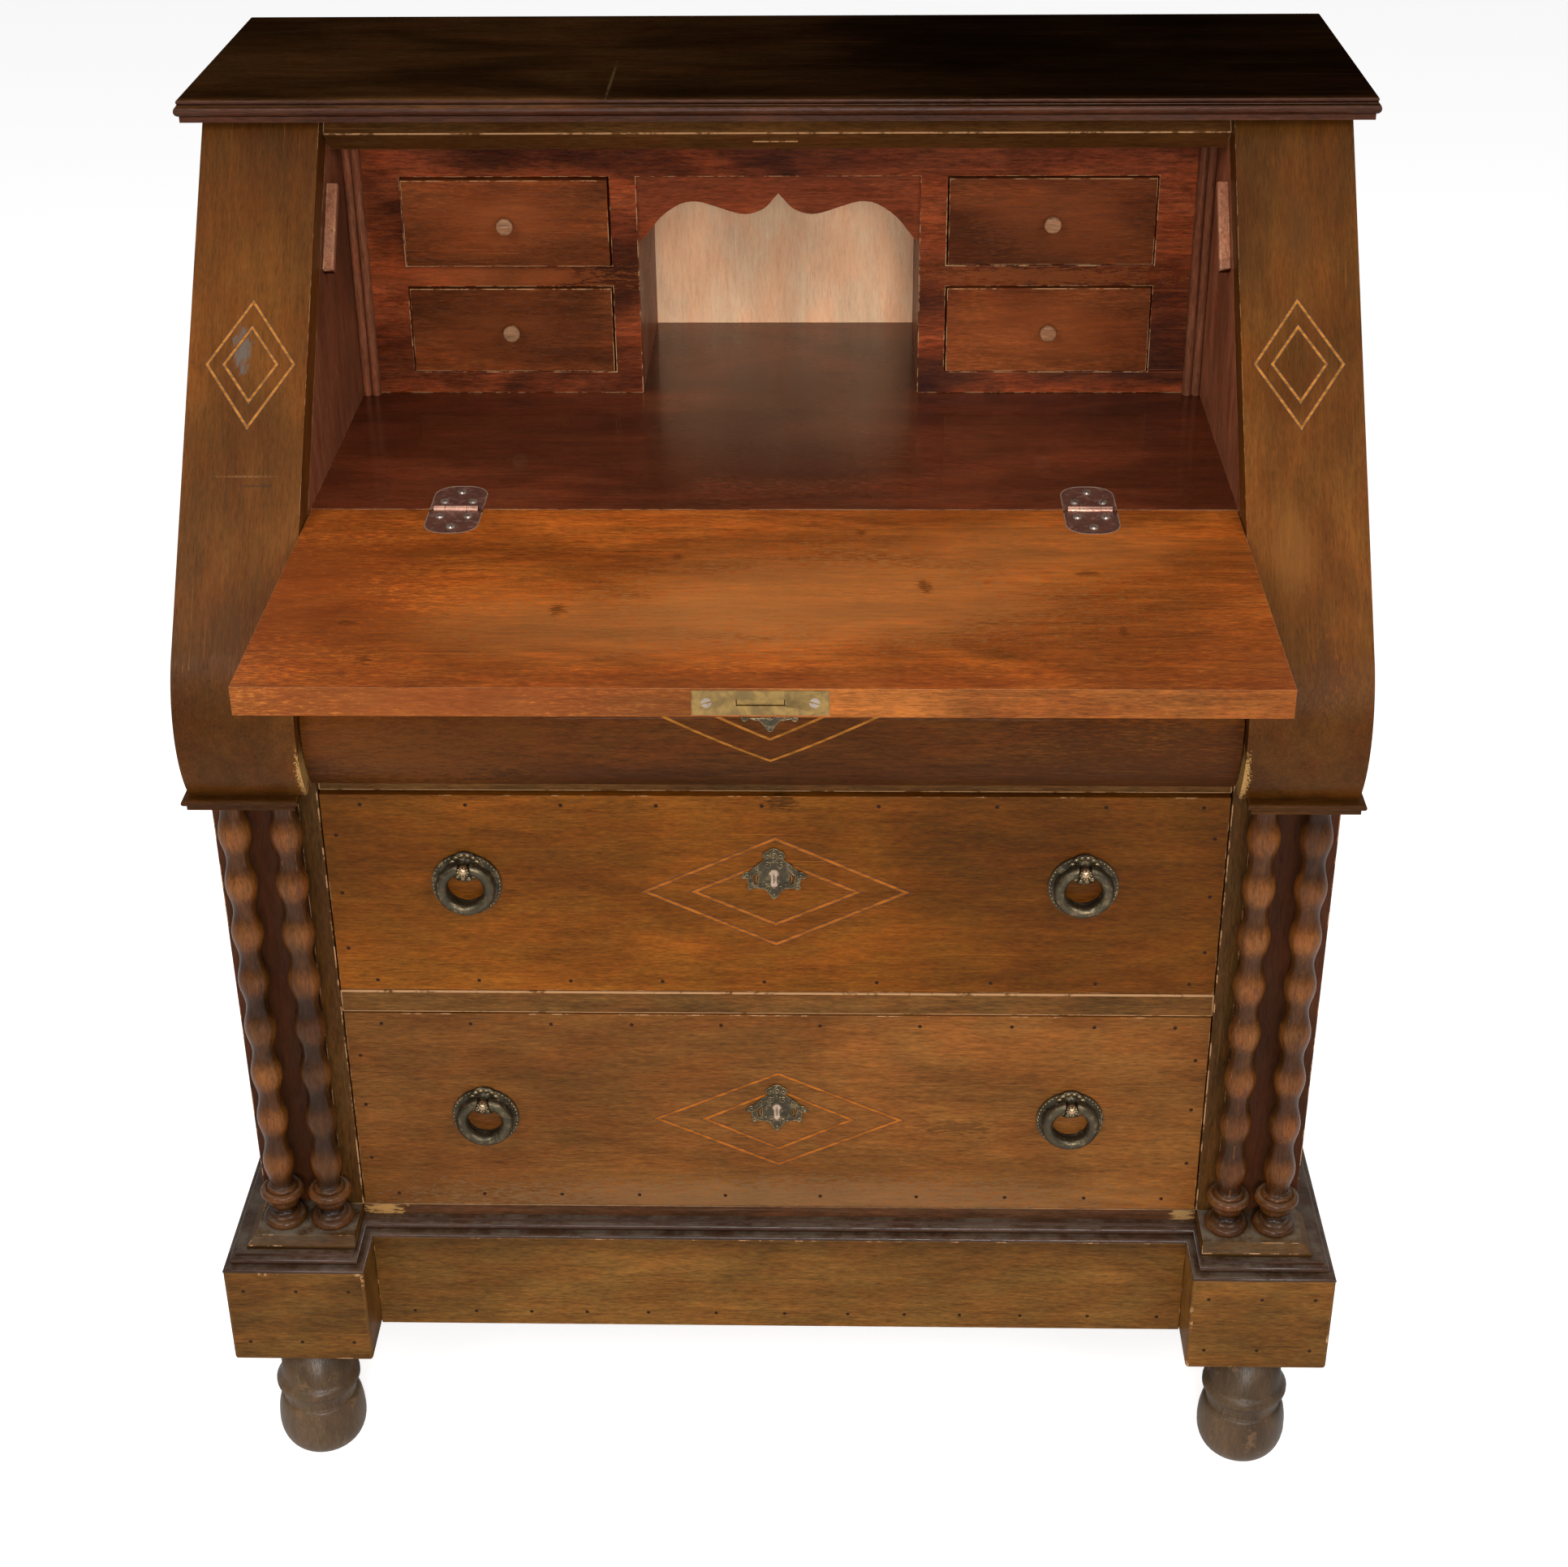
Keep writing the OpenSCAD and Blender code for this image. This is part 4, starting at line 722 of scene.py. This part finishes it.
class DESK_OT_writing_compartment(DeskOperator, bpy.types.Operator):
    """Bed, inner walls, pigeonholes, valance and small drawers"""
    bl_idname = "desk.writing_compartment"
    bl_label = "Writing compartment"

    def make(self, c, s):
        # The bed's darker patch at the mouth of the cubby is painted shade
        board("writing_bed", "red_wood", c.bed, 21, gloss=0.22, coat=0.45, coat_rough=0.10, wear=0.9,
              specular=0.15, blotch=0.45,
              marks=[((0.0, 0.05, 0.77), (0.10, 0.09, 0.03), times(c.bed, 0.45), 0.7)])
        # The right inner wall is made lighter than the left: painted light
        board("inner_walls", "red_wood", c.inside, 22, grain="Z", gloss=0.34, blotch=0.4,
              shade=[("X", 0.0, 0.25, 1.0, 1.8)])
        board("flap_stops", "pale_wood", (0.30, 0.13, 0.075), 23, 1.6, grain="Z")
        rail_z = (low("small_drawer_upper_left").z + high("small_drawer_lower_left").z) / 2
        rail_x = middle("small_drawer_upper_right").x
        # Lighter patches on the frame at the rail between the small drawers: painted highlights
        lit = [((side * rail_x, low("pigeonhole_frame").y, rail_z), (0.085, 0.05, 0.011),
                (0.26, 0.068, 0.016), 0.4) for side in (-1, 1)]
        board("pigeonhole_frame", "red_wood", times(c.pigeonhole, 0.56), 24, 0.8, gloss=0.28, blotch=0.8,
              contrast=1.7, marks=lit, wear=0.6)
        board("pigeonhole_boards", "red_wood", times(c.inside, 1.1), 25, 0.8, grain="Y")
        board("cubby_valance", "red_wood", times(c.pigeonhole, 0.6), 26, 0.5, wear=0.6)
        board("pilaster_beads", "red_wood", times(c.inside, 0.9), 27, 0.3, angle=60, grain="Z")
        knob = wood("small_knob", (0.26, 0.13, 0.07), gloss=0.3, seed=5)
        for i, (place, light) in enumerate(SMALL_DRAWERS.items()):
            node = "small_drawer_" + place
            box = wood(node + "_box", times(c.pale, 0.62), grain="Y", gloss=0.6, seed=40 + i)
            knob_end, box_start = self.steps(node)
            centre = (middle(node).x, low(node).y, middle(node).z)
            board(node, "red_wood", times(c.small_front, light), 30 + i, 0.6, [knob, box],
                  lambda p, n: 2 if p.y < knob_end else 3 if p.y > box_start else None,
                  gloss=0.3, contrast=1.4, blotch=0.5, wear=0.7,
                  marks=[(centre, (0.05, 0.1, 0.022), times(c.small_front, 1.5 * light), 0.4)])

    def steps(self, node):
        """Where the knob ends and where the box begins, along y."""
        front = on_front(node, low(node).x + 4 * MM, middle(node).z)[0].y
        return front - 0.2 * MM, front + 10.5 * MM


class DESK_OT_flap(DeskOperator, bpy.types.Operator):
    """The let-down writing flap"""
    bl_idname = "desk.flap"
    bl_label = "Flap"

    def make(self, c, s):
        # Lighter patches over the middle of the flap: painted sheen of the lamps
        painted_sheen, red, dark = (0.36, 0.135, 0.035), (0.16, 0.032, 0.006), times(c.flap, 0.33)
        blots = [(0.05, -0.20, 0.16, 0.07, painted_sheen, 0.45), (-0.10, -0.24, 0.14, 0.05, painted_sheen, 0.35),
                 (0.16, -0.13, 0.12, 0.05, painted_sheen, 0.3), (-0.29, -0.20, 0.08, 0.14, red, 0.6),
                 (0.30, -0.29, 0.08, 0.06, red, 0.2), (0.0, -0.32, 0.34, 0.022, red, 0.35)]
        blots += [(*spot, dark, 0.75) for spot in SPOTS]
        front = wood("flap_front_edge", (0.245, 0.074, 0.015), seed=52, gloss=0.34, contrast=1.3, blotch=0.4,
                     marks=[((-0.19, FLAP_FRONT, FLAP_TOP), (0.15, 0.03, 0.1), (0.15, 0.034, 0.007), 0.6)])
        outside = wood("flap_outside", times(c.stile, 1.15), seed=53, gloss=0.32, coat=0.05, blotch=0.35,
                       contrast=1.2)
        board("flap", "flap_wood", c.flap, 51, 1.0, [front, outside],
              lambda p, n: 3 if n.z < -0.9 else 2 if n.y < -0.9 and p.y < FLAP_FRONT + 0.6 * MM else None,
              gloss=0.33, coat=0.1, coat_rough=0.3, blotch=0.4, contrast=1.7, pores=0.34, wear=1.0,
              marks=[((x, y, FLAP_TOP), (wide, deep, 0.03), stain, strength)
                     for x, y, wide, deep, stain, strength in blots])


class DESK_OT_long_drawers(DeskOperator, bpy.types.Operator):
    """Three long drawers with their fronts and boxes"""
    bl_idname = "desk.long_drawers"
    bl_label = "Long drawers"

    def make(self, c, s):
        # The top drawer's tone is partly painted shadow of the open flap above it; it also gets darker
        # towards its lower edge
        board("top_drawer_front", "drawer_wood", c.frieze, 61, gloss=0.34, wear=0.4,
              marks=[((-0.235, -0.21, 0.625), (0.075, 0.12, 0.05), times(c.frieze, 1.7), 0.6),
                     ((0.25, -0.21, 0.625), (0.09, 0.12, 0.05), times(c.frieze, 0.6), 0.5)],
              shade=[("Z", 0.606, 0.64, 0.6, 1.0)])
        front = low("upper_drawer_front").y
        board("upper_drawer_front", "drawer_wood", c.drawer, 62, contrast=1.2, wear=0.35,
              marks=[((0.005, front, 0.574), (0.012, 0.01, 0.008), times(c.drawer, 0.3), 0.8)],
              shade=[("X", -0.30, -0.20, 0.85, 1.0), ("X", 0.03, 0.15, 1.0, 0.62),
                     ("Z", 0.43, 0.50, 1.3, 0.95), ("Z", 0.545, 0.58, 1.0, 1.35)])
        board("lower_drawer_front", "drawer_wood", c.drawer_low, 63, contrast=1.1, wear=0.35,
              marks=[((0.135, front, 0.292), (0.030, 0.01, 0.006), times(c.drawer_low, 0.5), 0.6),
                     ((0.0, front, 0.222), (0.26, 0.01, 0.022), (0.20, 0.105, 0.045), 0.5)],
              shade=[("X", -0.28, 0.2, 0.82, 1.08)])
        for i, name in enumerate(("top", "upper", "lower")):
            board(name + "_drawer_box", "pale_wood", times(c.pale, 0.75), 66 + i, grain="Y", gloss=0.55)


class DESK_OT_columns(DeskOperator, bpy.types.Operator):
    """Four turned columns"""
    bl_idname = "desk.columns"
    bl_label = "Turned columns"

    def make(self, c, s):
        for i, place in enumerate(("left_outer", "left_inner", "right_inner", "right_outer")):
            node = place + "_column"
            centre = middle(node)
            # Each column gets painted shade in its waists and a little painted highlight on its swells
            finish = wood(node, c.turned, grain="Z", seed=70 + i, gloss=0.25, coat=0.06, blotch=0.6,
                          specular=0.16, turned=(centre.x, centre.y, 8.5 * MM, 12 * MM, 0.4, 1.1),
                          dust=tuple(c.dust), shade=[("Z", 0.232, 0.255, 0.55, 1.0)])
            dressed(node, [finish], angle=40)


class DESK_OT_plinth(DeskOperator, bpy.types.Operator):
    """Plinth blocks, boards, apron, mouldings and feet"""
    bl_idname = "desk.plinth"
    bl_label = "Plinth and feet"

    def make(self, c, s):
        board("plinth_blocks", "plinth_wood", c.plinth, 81, 2.8, wear=0.15, blotch=0.4,
              shade=[("Z", 0.105, 0.125, 0.7, 1.0), ("X", -0.3, 0.3, 0.88, 1.38)])
        board("plinth_boards", "plinth_wood", times(c.plinth, 0.9), 82, 1.5, grain="Y")
        # The apron gets darker towards its top: painted shade under the moulding
        board("plinth_apron", "plinth_wood", times(c.plinth, 1.08), 83, wear=0.4,
              shade=[("Z", 0.17, 0.195, 1.0, 0.55)])
        board("plinth_moulding", "plinth_wood", c.moulding, 84, 0.5, angle=40, dust=tuple(c.dust),
              wear=0.3, specular=0.25, gloss=0.24, dusty=0.4)
        board("column_slabs", "plinth_wood", times(c.plinth, 0.52), 85, 0.5, dust=tuple(c.dust),
              wear=0.3, specular=0.1, dusty=0.75, shade=[("Z", 0.2095, 0.2075, 1.0, 0.4)])
        foot = wood("ball_feet", c.foot, grain="Z", seed=86, gloss=0.32, blotch=0.8, specular=0.25,
                    worn=times(c.foot, 1.8, 0.1), wear=0.1, bump=2.5, pores=0.2)
        dressed("ball_feet", [foot], angle=40)


class DESK_OT_string_lines(DeskOperator, bpy.types.Operator):
    """Inlaid diamonds on the drawers and the slanted stiles"""
    bl_idname = "desk.string_lines"
    bl_label = "String lines"

    def make(self, c, s):
        inlay = self.line("string_line", c.inlay)
        faint = self.line("faint_string_line", (0.31, 0.088, 0.008))
        # A dark band round each line, partly a dark joint and partly painted shadow of its groove
        seam_shadow = Finish("string_seam", rough=0.6)
        seam_shadow.colour((0.012, 0.006, 0.003))
        wide, width = 1.25 * s.string_width, s.string_width
        rows = [("upper_drawer", "_front", 0.001, 0.4995, ((0.093, 0.044), (0.058, 0.027)), faint, wide, 1.0),
                ("lower_drawer", "_front", 0.001, 0.2986, ((0.091, 0.042), (0.055, 0.027)), faint, wide, 1.0),
                ("top_drawer", "_front", 0.0, 0.676, ((0.093, 0.045), (0.058, 0.027)), inlay, width, 1.0)]
        rows += [(side + "_slant_stile", "", sign * STILE_X, STILE_DIAMOND_Z,
                  ((0.0295, 0.045), (0.018, 0.0265)), inlay, width, math.cos(SLANT))
                 for side, sign in SIDES.items()]
        for name, ending, x, z, diamonds, inlaid, width, squeeze in rows:
            node = name + ending
            strings(name + "_strings", node, x, z, diamonds, inlaid, width, s.string_rise, squeeze)
            if name != "top_drawer":
                strings(name + "_seams", node, x, z, diamonds, seam_shadow.material, width + SEAM_SHADOW,
                        SEAM_SHADOW_RISE * s.string_rise, squeeze)

    def line(self, name, colour):
        """Inlaid wood that varies along its length."""
        f = Finish(name, rough=0.45, specular=0.05)
        grain = f.noise(f.mapped(f.place, scale=(1, 6, 6)), 60.0, 4.0, 0.6)
        f.colour(f.mix(f.span(grain, 0.35, 0.65), times(colour, 0.62), times(colour, 1.2)))
        return f.material


class DESK_OT_nail_dots(DeskOperator, bpy.types.Operator):
    """Filled nail holes in the fronts"""
    bl_idname = "desk.nail_dots"
    bl_label = "Nail dots"

    def make(self, c, s):
        f = Finish("nail_filler", rough=0.7, specular=0.05)
        f.colour(f.mix(f.noise(f.place, 900.0, 2.0), (0.012, 0.006, 0.003), (0.045, 0.02, 0.01)))
        half = high("lower_drawer_front").x
        rows = {}
        for node, count, along, upright in (("upper_drawer_front", 9, (0.4225, 0.570), (0.45, 0.497, 0.545)),
                                            ("lower_drawer_front", 10, (0.226, 0.384), (0.26, 0.31, 0.355))):
            rows[node] = [(x, z) for z in along for x in self.spread(half - 0.02, count)]
            rows[node] += [(sign * (half - 0.009), z) for sign in (-1, 1) for z in upright]
        rows["plinth_apron"] = [(x, 0.121) for x in self.spread(0.29, 13)]
        rows["plinth_blocks"] = [(sign * x, z) for sign in (-1, 1) for x in (0.325, 0.365, 0.405)
                                 for z in (0.126, 0.176)]
        for node, spots in rows.items():
            found = [on_front(node, x, z) for x, z in spots]
            grown(node + "_nails", dome_tree(), node, [p for p, _ in found], "dark_wood", f.material,
                  [n for _, n in found], radius=s.nail_radius, rise=0.12 * MM, sides=10)

    def spread(self, half, count):
        """Evenly spread places from -half to half, each a little off by a fixed rule."""
        step = 2 * half / (count - 1)
        return [step * i - half + 0.12 * step * math.sin(7.3 * i + 1.1) for i in range(count)]


class DESK_OT_pulls(DeskOperator, bpy.types.Operator):
    """Ring pulls, key plates and what is cast on them"""
    bl_idname = "desk.pulls"
    bl_label = "Pulls and key plates"

    def make(self, c, s):
        # The lighter bronze of the cast relief and of the spots on the plates: partly worn bright, partly
        # painted highlights
        rubbed = times(c.bronze, 2.8, 0.05)
        bronze = metal("dark_bronze", c.bronze, 0.36, 0.8, bright=times(c.bronze, 2.2, 0.05))
        relief = metal("rubbed_relief", rubbed, 0.28, 0.9)
        plate = metal("plate_bronze", times(c.bronze, 0.8), 0.4, 0.75, amount=0.8, bright=rubbed)
        # The ball is partly worn bright and partly a painted highlight
        ball = metal("rubbed_ball", c.ball, 0.24, 0.9, amount=0.25)
        for drawer in ("upper", "lower"):
            node = drawer + "_drawer_fittings"
            ball_y = low(drawer + "_drawer_front").y - BALL_FROM
            dressed(node, [plate, ball], angle=35,
                    pick=lambda p, n: 1 if p.y < ball_y else None)
            for side in SIDES:
                dressed(f"{drawer}_{side}_ring", [bronze], angle=60)
                self.plate_work(drawer, side, relief, s)
            self.key_work(drawer + "_drawer", node, relief, c)
        bare = {"top_drawer": OUT, "flap": Vector((0, 0, -1))}
        for name in bare:
            dressed(name + "_escutcheon", [plate], angle=35)
        for name, facing in bare.items():
            self.rims(name, name + "_escutcheon", facing, relief)

    def plate_work(self, drawer, side, relief, s):
        """Beads round a backplate, petals round its rosette and round its ball."""
        ring = f"{drawer}_{side}_ring"
        x, centre = middle(ring).x, low(ring).z + RING_TO_CENTRE
        pin = centre + CENTRE_TO_PIN
        front = low(drawer + "_drawer_front").y
        for label, z, radius, y, count, size, rise in (
                ("beads", centre, 23.7, front - 2.0 * MM, s.bead_count, s.bead_radius, 1.0),
                ("petals", pin - PIN_TO_ROSETTE, 9.6, front - 3.1 * MM, s.petals + 4, 2.3 * MM, 1.2),
                ("collar", pin, 3.6, front - 14.2 * MM, s.petals, 1.1 * MM, 0.8)):
            turns = [2 * math.pi * (i + 0.5) / count for i in range(count)]
            places = [(x + radius * MM * math.sin(a), y, z + radius * MM * math.cos(a)) for a in turns]
            grown(f"{drawer}_{side}_{label}", dome_tree(), drawer + "_drawer_fittings", places,
                  "dark_bronze", relief, [OUT] * count, radius=size, rise=rise * MM, sides=10)

    def rims(self, name, node, facing, relief):
        """Wire along the sharp edges of a key plate: its outline, its piercings and its keyhole."""
        bm = merged(node)
        points, edges, seen = [], [], {}
        for edge in bm.edges:
            if len(edge.link_faces) != 2 or any(abs(v.co.x) > KEY_REACH for v in edge.verts):
                continue
            away, towards = sorted(f.normal.dot(facing) for f in edge.link_faces)
            if towards < 0.7 or away > 0.35:
                continue
            for v in edge.verts:
                if v.index not in seen:
                    seen[v.index] = len(points)
                    points.append(v.co - facing * 0.25 * MM)
            edges.append(tuple(seen[v.index] for v in edge.verts))
        bm.free()
        wires(name + "_rim", node, "dark_bronze", relief, points, edges, 0.5 * MM)

    def key_work(self, name, node, relief, c):
        """Scrolls and beads of a key plate, and the pale plate of the lock behind its keyhole."""
        self.rims(name, node, OUT, relief)
        self.key_guide(name, node, c)
        key_z = high(node).z - KEY_TOP
        face = on_front(node, 0, key_z + 12 * MM)[0].y
        points, edges = [], []
        for x, z, start, end, first, sweep in SCROLLS:
            for side in ((1,) if x == 0 else (-1, 1)):
                steps = max(8, int(abs(sweep) / 22))
                for i in range(steps + 1):
                    t = i / steps
                    a, r = math.radians(first + sweep * t), start + (end - start) * t
                    points.append((side * (x + r * math.cos(a)) * MM, face - 0.15 * MM,
                                   key_z + (z + r * math.sin(a)) * MM))
                    if i:
                        edges.append((len(points) - 2, len(points) - 1))
        wires(name + "_scrolls", node, "dark_bronze", relief, points, edges, 0.55 * MM)
        beads = [(0, 14.6), (0, -13.4), (0, 23.2)]
        beads += [(side * x, z) for x, z in ((2.2, 13.4), (21.2, 1.4), (8.2, -4.8)) for side in (-1, 1)]
        grown(name + "_key_beads", dome_tree(), node, [(x * MM, face, key_z + z * MM) for x, z in beads],
              "dark_bronze", relief, [OUT] * len(beads), radius=1.1 * MM, rise=0.9 * MM, sides=8)

    def key_guide(self, name, node, c):
        """The pale lock plate seen through the keyhole, with a dark slot that is painted shade."""
        key_z = high(node).z - KEY_TOP
        f = Finish("key_guide", rough=0.4, metallic=0.35)
        # The dark slot is painted shade inside the lock
        slot = f.away((0, 0, key_z - 1.0 * MM), (1.1 * MM, 1.0, 4.2 * MM))
        cloud = f.noise(f.place, 700.0, 3.0, 0.6)
        worn = f.mix(f.span(cloud, 0.35, 0.65), times(c.guide, 0.6), tuple(c.guide))
        f.colour(f.mix(f.span(slot, 1.1, 0.8, 0.0, 0.65), worn, (0.05, 0.03, 0.02)))
        # The round eye and the flared foot of the keyhole: height and radius in mm, first and last angle
        outline = [(r * MM * math.cos(math.radians(a)), key_z + (z + r * math.sin(math.radians(a))) * MM)
                   for z, r, start, end in ((3.2, 4.1, -30, 210), (-5.6, 3.5, 130, 410))
                   for a in range(start, end + 1, 20)]
        bm = board_of(outline, low(node.replace("fittings", "front")).y - 0.7 * MM, 1.2 * MM)
        bmesh.ops.triangulate(bm, faces=bm.faces)
        place_object(name + "_key_guide", finished_mesh(bm, name + "_key_guide"), BODY_OF[node],
                     [f.material])


class DESK_OT_locks_and_hinges(DeskOperator, bpy.types.Operator):
    """Locks, bolts, hinges and their screws"""
    bl_idname = "desk.locks_and_hinges"
    bl_label = "Locks and hinges"

    def make(self, c, s):
        brass = metal("lock_brass", c.brass, 0.42, 0.75, tarnish=(0.12, 0.075, 0.03), amount=0.7)
        steel = metal("lock_case", (0.16, 0.13, 0.10), 0.5, 0.8)
        leaf = metal("hinge_leaf", c.hinge, 0.42, 0.3, tarnish=(0.06, 0.022, 0.017), bright=(0.2, 0.1, 0.075))
        copper = metal("knuckle", c.knuckle, 0.3, 0.85, tarnish=(0.16, 0.07, 0.05))
        screw = metal("old_screw", (0.36, 0.29, 0.24), 0.34, 0.8, tarnish=(0.16, 0.11, 0.085))
        for holder in ("flap", "top_drawer", "upper_drawer", "lower_drawer"):
            dressed(holder + "_lock", [brass if holder == "flap" else steel], angle=35)
            dressed(holder + "_bolt", [brass], angle=35)
        filler = Finish("hinge_gap", rough=0.8, specular=0.1)
        filler.colour(filler.mix(filler.noise(filler.place, 400.0, 3.0),
                                 (0.07, 0.04, 0.028), (0.30, 0.22, 0.16)))
        top = high("writing_bed").z
        hinges = {"bed_hinges": 1, "flap_hinge_leaves": -1}  # which way the leaves lie from the pin
        for node in hinges:
            dressed(node, [leaf, copper], angle=35,
                    pick=lambda p, n: 1 if abs(p.y - HINGE_Y) < KNUCKLE_REACH and abs(n.z) < 0.999 else None)
        for node, away in hinges.items():
            self.gap(node, top, away, filler.material)
            places = [(side * HINGE_X + dx, HINGE_Y + away * dy, top - 0.4 * MM) for side in (-1, 1)
                      for dx, dy in ((-0.0095, 0.0125), (0.0095, 0.0125), (0.0, 0.0295))]
            grown(node + "_screws", screw_tree(), node, places, "copper_brass", screw,
                  [(0, 0, 1)] * len(places), radius=s.hinge_screw, height=1.6 * MM, slot_width=0.9 * MM,
                  slot_depth=0.7 * MM, turn_seed=7)
        places = [(side * 0.032, low("flap_lock").y + 1.0 * MM, middle("flap").z) for side in (-1, 1)]
        grown("flap_lock_screws", screw_tree(), "flap_lock", places, "lock_brass", screw, [OUT] * 2,
              radius=s.lock_screw, height=1.2 * MM, slot_width=1.0 * MM, slot_depth=0.6 * MM, turn_seed=11)

    def gap(self, node, top, away, material):
        """Pale filler in the gap round the flush leaves of a hinge."""
        bm = merged(node)
        bmesh.ops.dissolve_limit(bm, angle_limit=math.radians(1), verts=bm.verts, edges=bm.edges)
        points, edges = [], []
        for edge in bm.edges:
            ends = [v.co.copy() for v in edge.verts]
            if all(abs(v.y - HINGE_Y) < KNUCKLE_ROOM for v in ends):
                continue
            for v in ends:
                v.y = HINGE_Y + away * max(away * (v.y - HINGE_Y), KNUCKLE_ROOM)
            if len(edge.link_faces) == 2 and all(abs(v.z - top) < 0.3 * MM for v in ends):
                side, upper = sorted(f.normal.z for f in edge.link_faces)
                if upper > 0.99 and side < 0.1:
                    points += [Vector((v.x, v.y, top - 0.2 * MM)) for v in ends]
                    edges.append((len(points) - 2, len(points) - 1))
        bm.free()
        wires(node + "_gap", node, "copper_brass", material, points, edges, 0.45 * MM)


class DESK_OT_stage(bpy.types.Operator):
    """Floor, light and camera"""
    bl_idname = "desk.stage"
    bl_label = "Stage"

    def execute(self, context):
        settings = context.scene.desk_stage
        self.floor()
        self.world(context, settings)
        self.lamps(settings)
        self.camera(context, settings)
        context.scene.view_settings.view_transform = "Standard"
        return {"FINISHED"}

    def floor(self):
        mesh = bpy.data.meshes.new("floor")
        corners = [(x * FLOOR_REACH, y * FLOOR_REACH, 0) for x, y in ((-1, -1), (1, -1), (1, 1), (-1, 1))]
        mesh.from_pydata(corners, [], [(0, 1, 2, 3)])
        material = bpy.data.materials.new("floor")
        material.use_nodes = True
        paint = Nodes(material.node_tree)
        diffuse = paint.add("ShaderNodeBsdfDiffuse", [(0.86, 0.86, 0.86)])
        seen = paint.add("ShaderNodeLightPath").outputs["Is Camera Ray"]
        lift = paint.add("ShaderNodeMath", [seen, FLOOR_LIFT], operation="MULTIPLY")
        glow = paint.add("ShaderNodeEmission", {"Strength": lift})
        paint.add("ShaderNodeOutputMaterial", [paint.add("ShaderNodeAddShader", [diffuse, glow])])
        mesh.materials.append(material)
        floor = linked("floor", mesh)

    def world(self, context, settings):
        world = bpy.data.worlds.new("room")
        context.scene.world = world
        world.use_nodes = True
        room = Nodes(world.node_tree)
        seen = room.add("ShaderNodeLightPath").outputs
        shown = room.add("ShaderNodeMath", [seen["Is Glossy Ray"], MIRRORED_ROOM, seen["Is Camera Ray"]],
                         operation="MULTIPLY_ADD")
        level = room.add("ShaderNodeMapRange", {"Value": shown, "To Min": settings.ambient, "To Max": 1.0})
        room.add("ShaderNodeOutputWorld", [room.add("ShaderNodeBackground", {"Strength": level})])

    def lamps(self, settings):
        aim = Vector((0, 0, 0.55))
        for name, place, size, share in (("key", (-1.4, -2.0, 2.6), 1.2, 0.95),
                                         ("fill", (1.6, -1.9, 2.3), 1.2, 0.8),
                                         ("front", (0.1, -2.4, 1.35), 0.8, 0.95),
                                         ("above", (0.0, 0.0, 3.0), 1.6, 0.45)):
            data = bpy.data.lights.new(name, "AREA")
            data.size = size
            data.energy = settings.lamps * share
            lamp = linked(name, data)
            lamp.location = place
            lamp.rotation_euler = (aim - Vector(place)).to_track_quat("-Z", "Y").to_euler()

    def camera(self, context, settings):
        turned = (Matrix.Rotation(settings.azimuth, 4, "Z")
                  @ Matrix.Rotation(math.pi / 2 - settings.pitch, 4, "X")
                  @ Matrix.Rotation(settings.roll, 4, "Z"))
        data = bpy.data.cameras.new("camera")
        data.lens = settings.lens
        data.clip_start = 0.05
        data.clip_end = 100
        camera = linked("camera", data)
        camera.matrix_world = Matrix.Translation(settings.place) @ turned
        context.scene.camera = camera


class DESK_PT_panel(bpy.types.Panel):
    bl_label = "Slant-front desk"
    bl_idname = "DESK_PT_panel"
    bl_space_type = "VIEW_3D"
    bl_region_type = "UI"
    bl_category = "Desk"

    def draw(self, context):
        for operator in STEPS:
            self.layout.operator(operator.bl_idname)
        for group in (context.scene.desk_colours, context.scene.desk_sizes, context.scene.desk_stage):
            box = self.layout.box()
            for key in group.__annotations__:
                box.prop(group, key)


STEPS = (DESK_OT_case, DESK_OT_writing_compartment, DESK_OT_flap, DESK_OT_long_drawers, DESK_OT_columns,
         DESK_OT_plinth, DESK_OT_string_lines, DESK_OT_nail_dots, DESK_OT_pulls, DESK_OT_locks_and_hinges,
         DESK_OT_stage)
CLASSES = (DeskColours, DeskSizes, DeskStage, *STEPS, DESK_PT_panel)


def register():
    for cls in CLASSES:
        bpy.utils.register_class(cls)
    bpy.types.Scene.desk_colours = PointerProperty(type=DeskColours)
    bpy.types.Scene.desk_sizes = PointerProperty(type=DeskSizes)
    bpy.types.Scene.desk_stage = PointerProperty(type=DeskStage)


def unregister():
    for key in ("desk_colours", "desk_sizes", "desk_stage"):
        delattr(bpy.types.Scene, key)
    for cls in reversed(CLASSES):
        bpy.utils.unregister_class(cls)


def main():
    register()
    for operator in STEPS:
        group, name = operator.bl_idname.split(".")
        getattr(getattr(bpy.ops, group), name)()


if __name__ == "__main__":
    main()
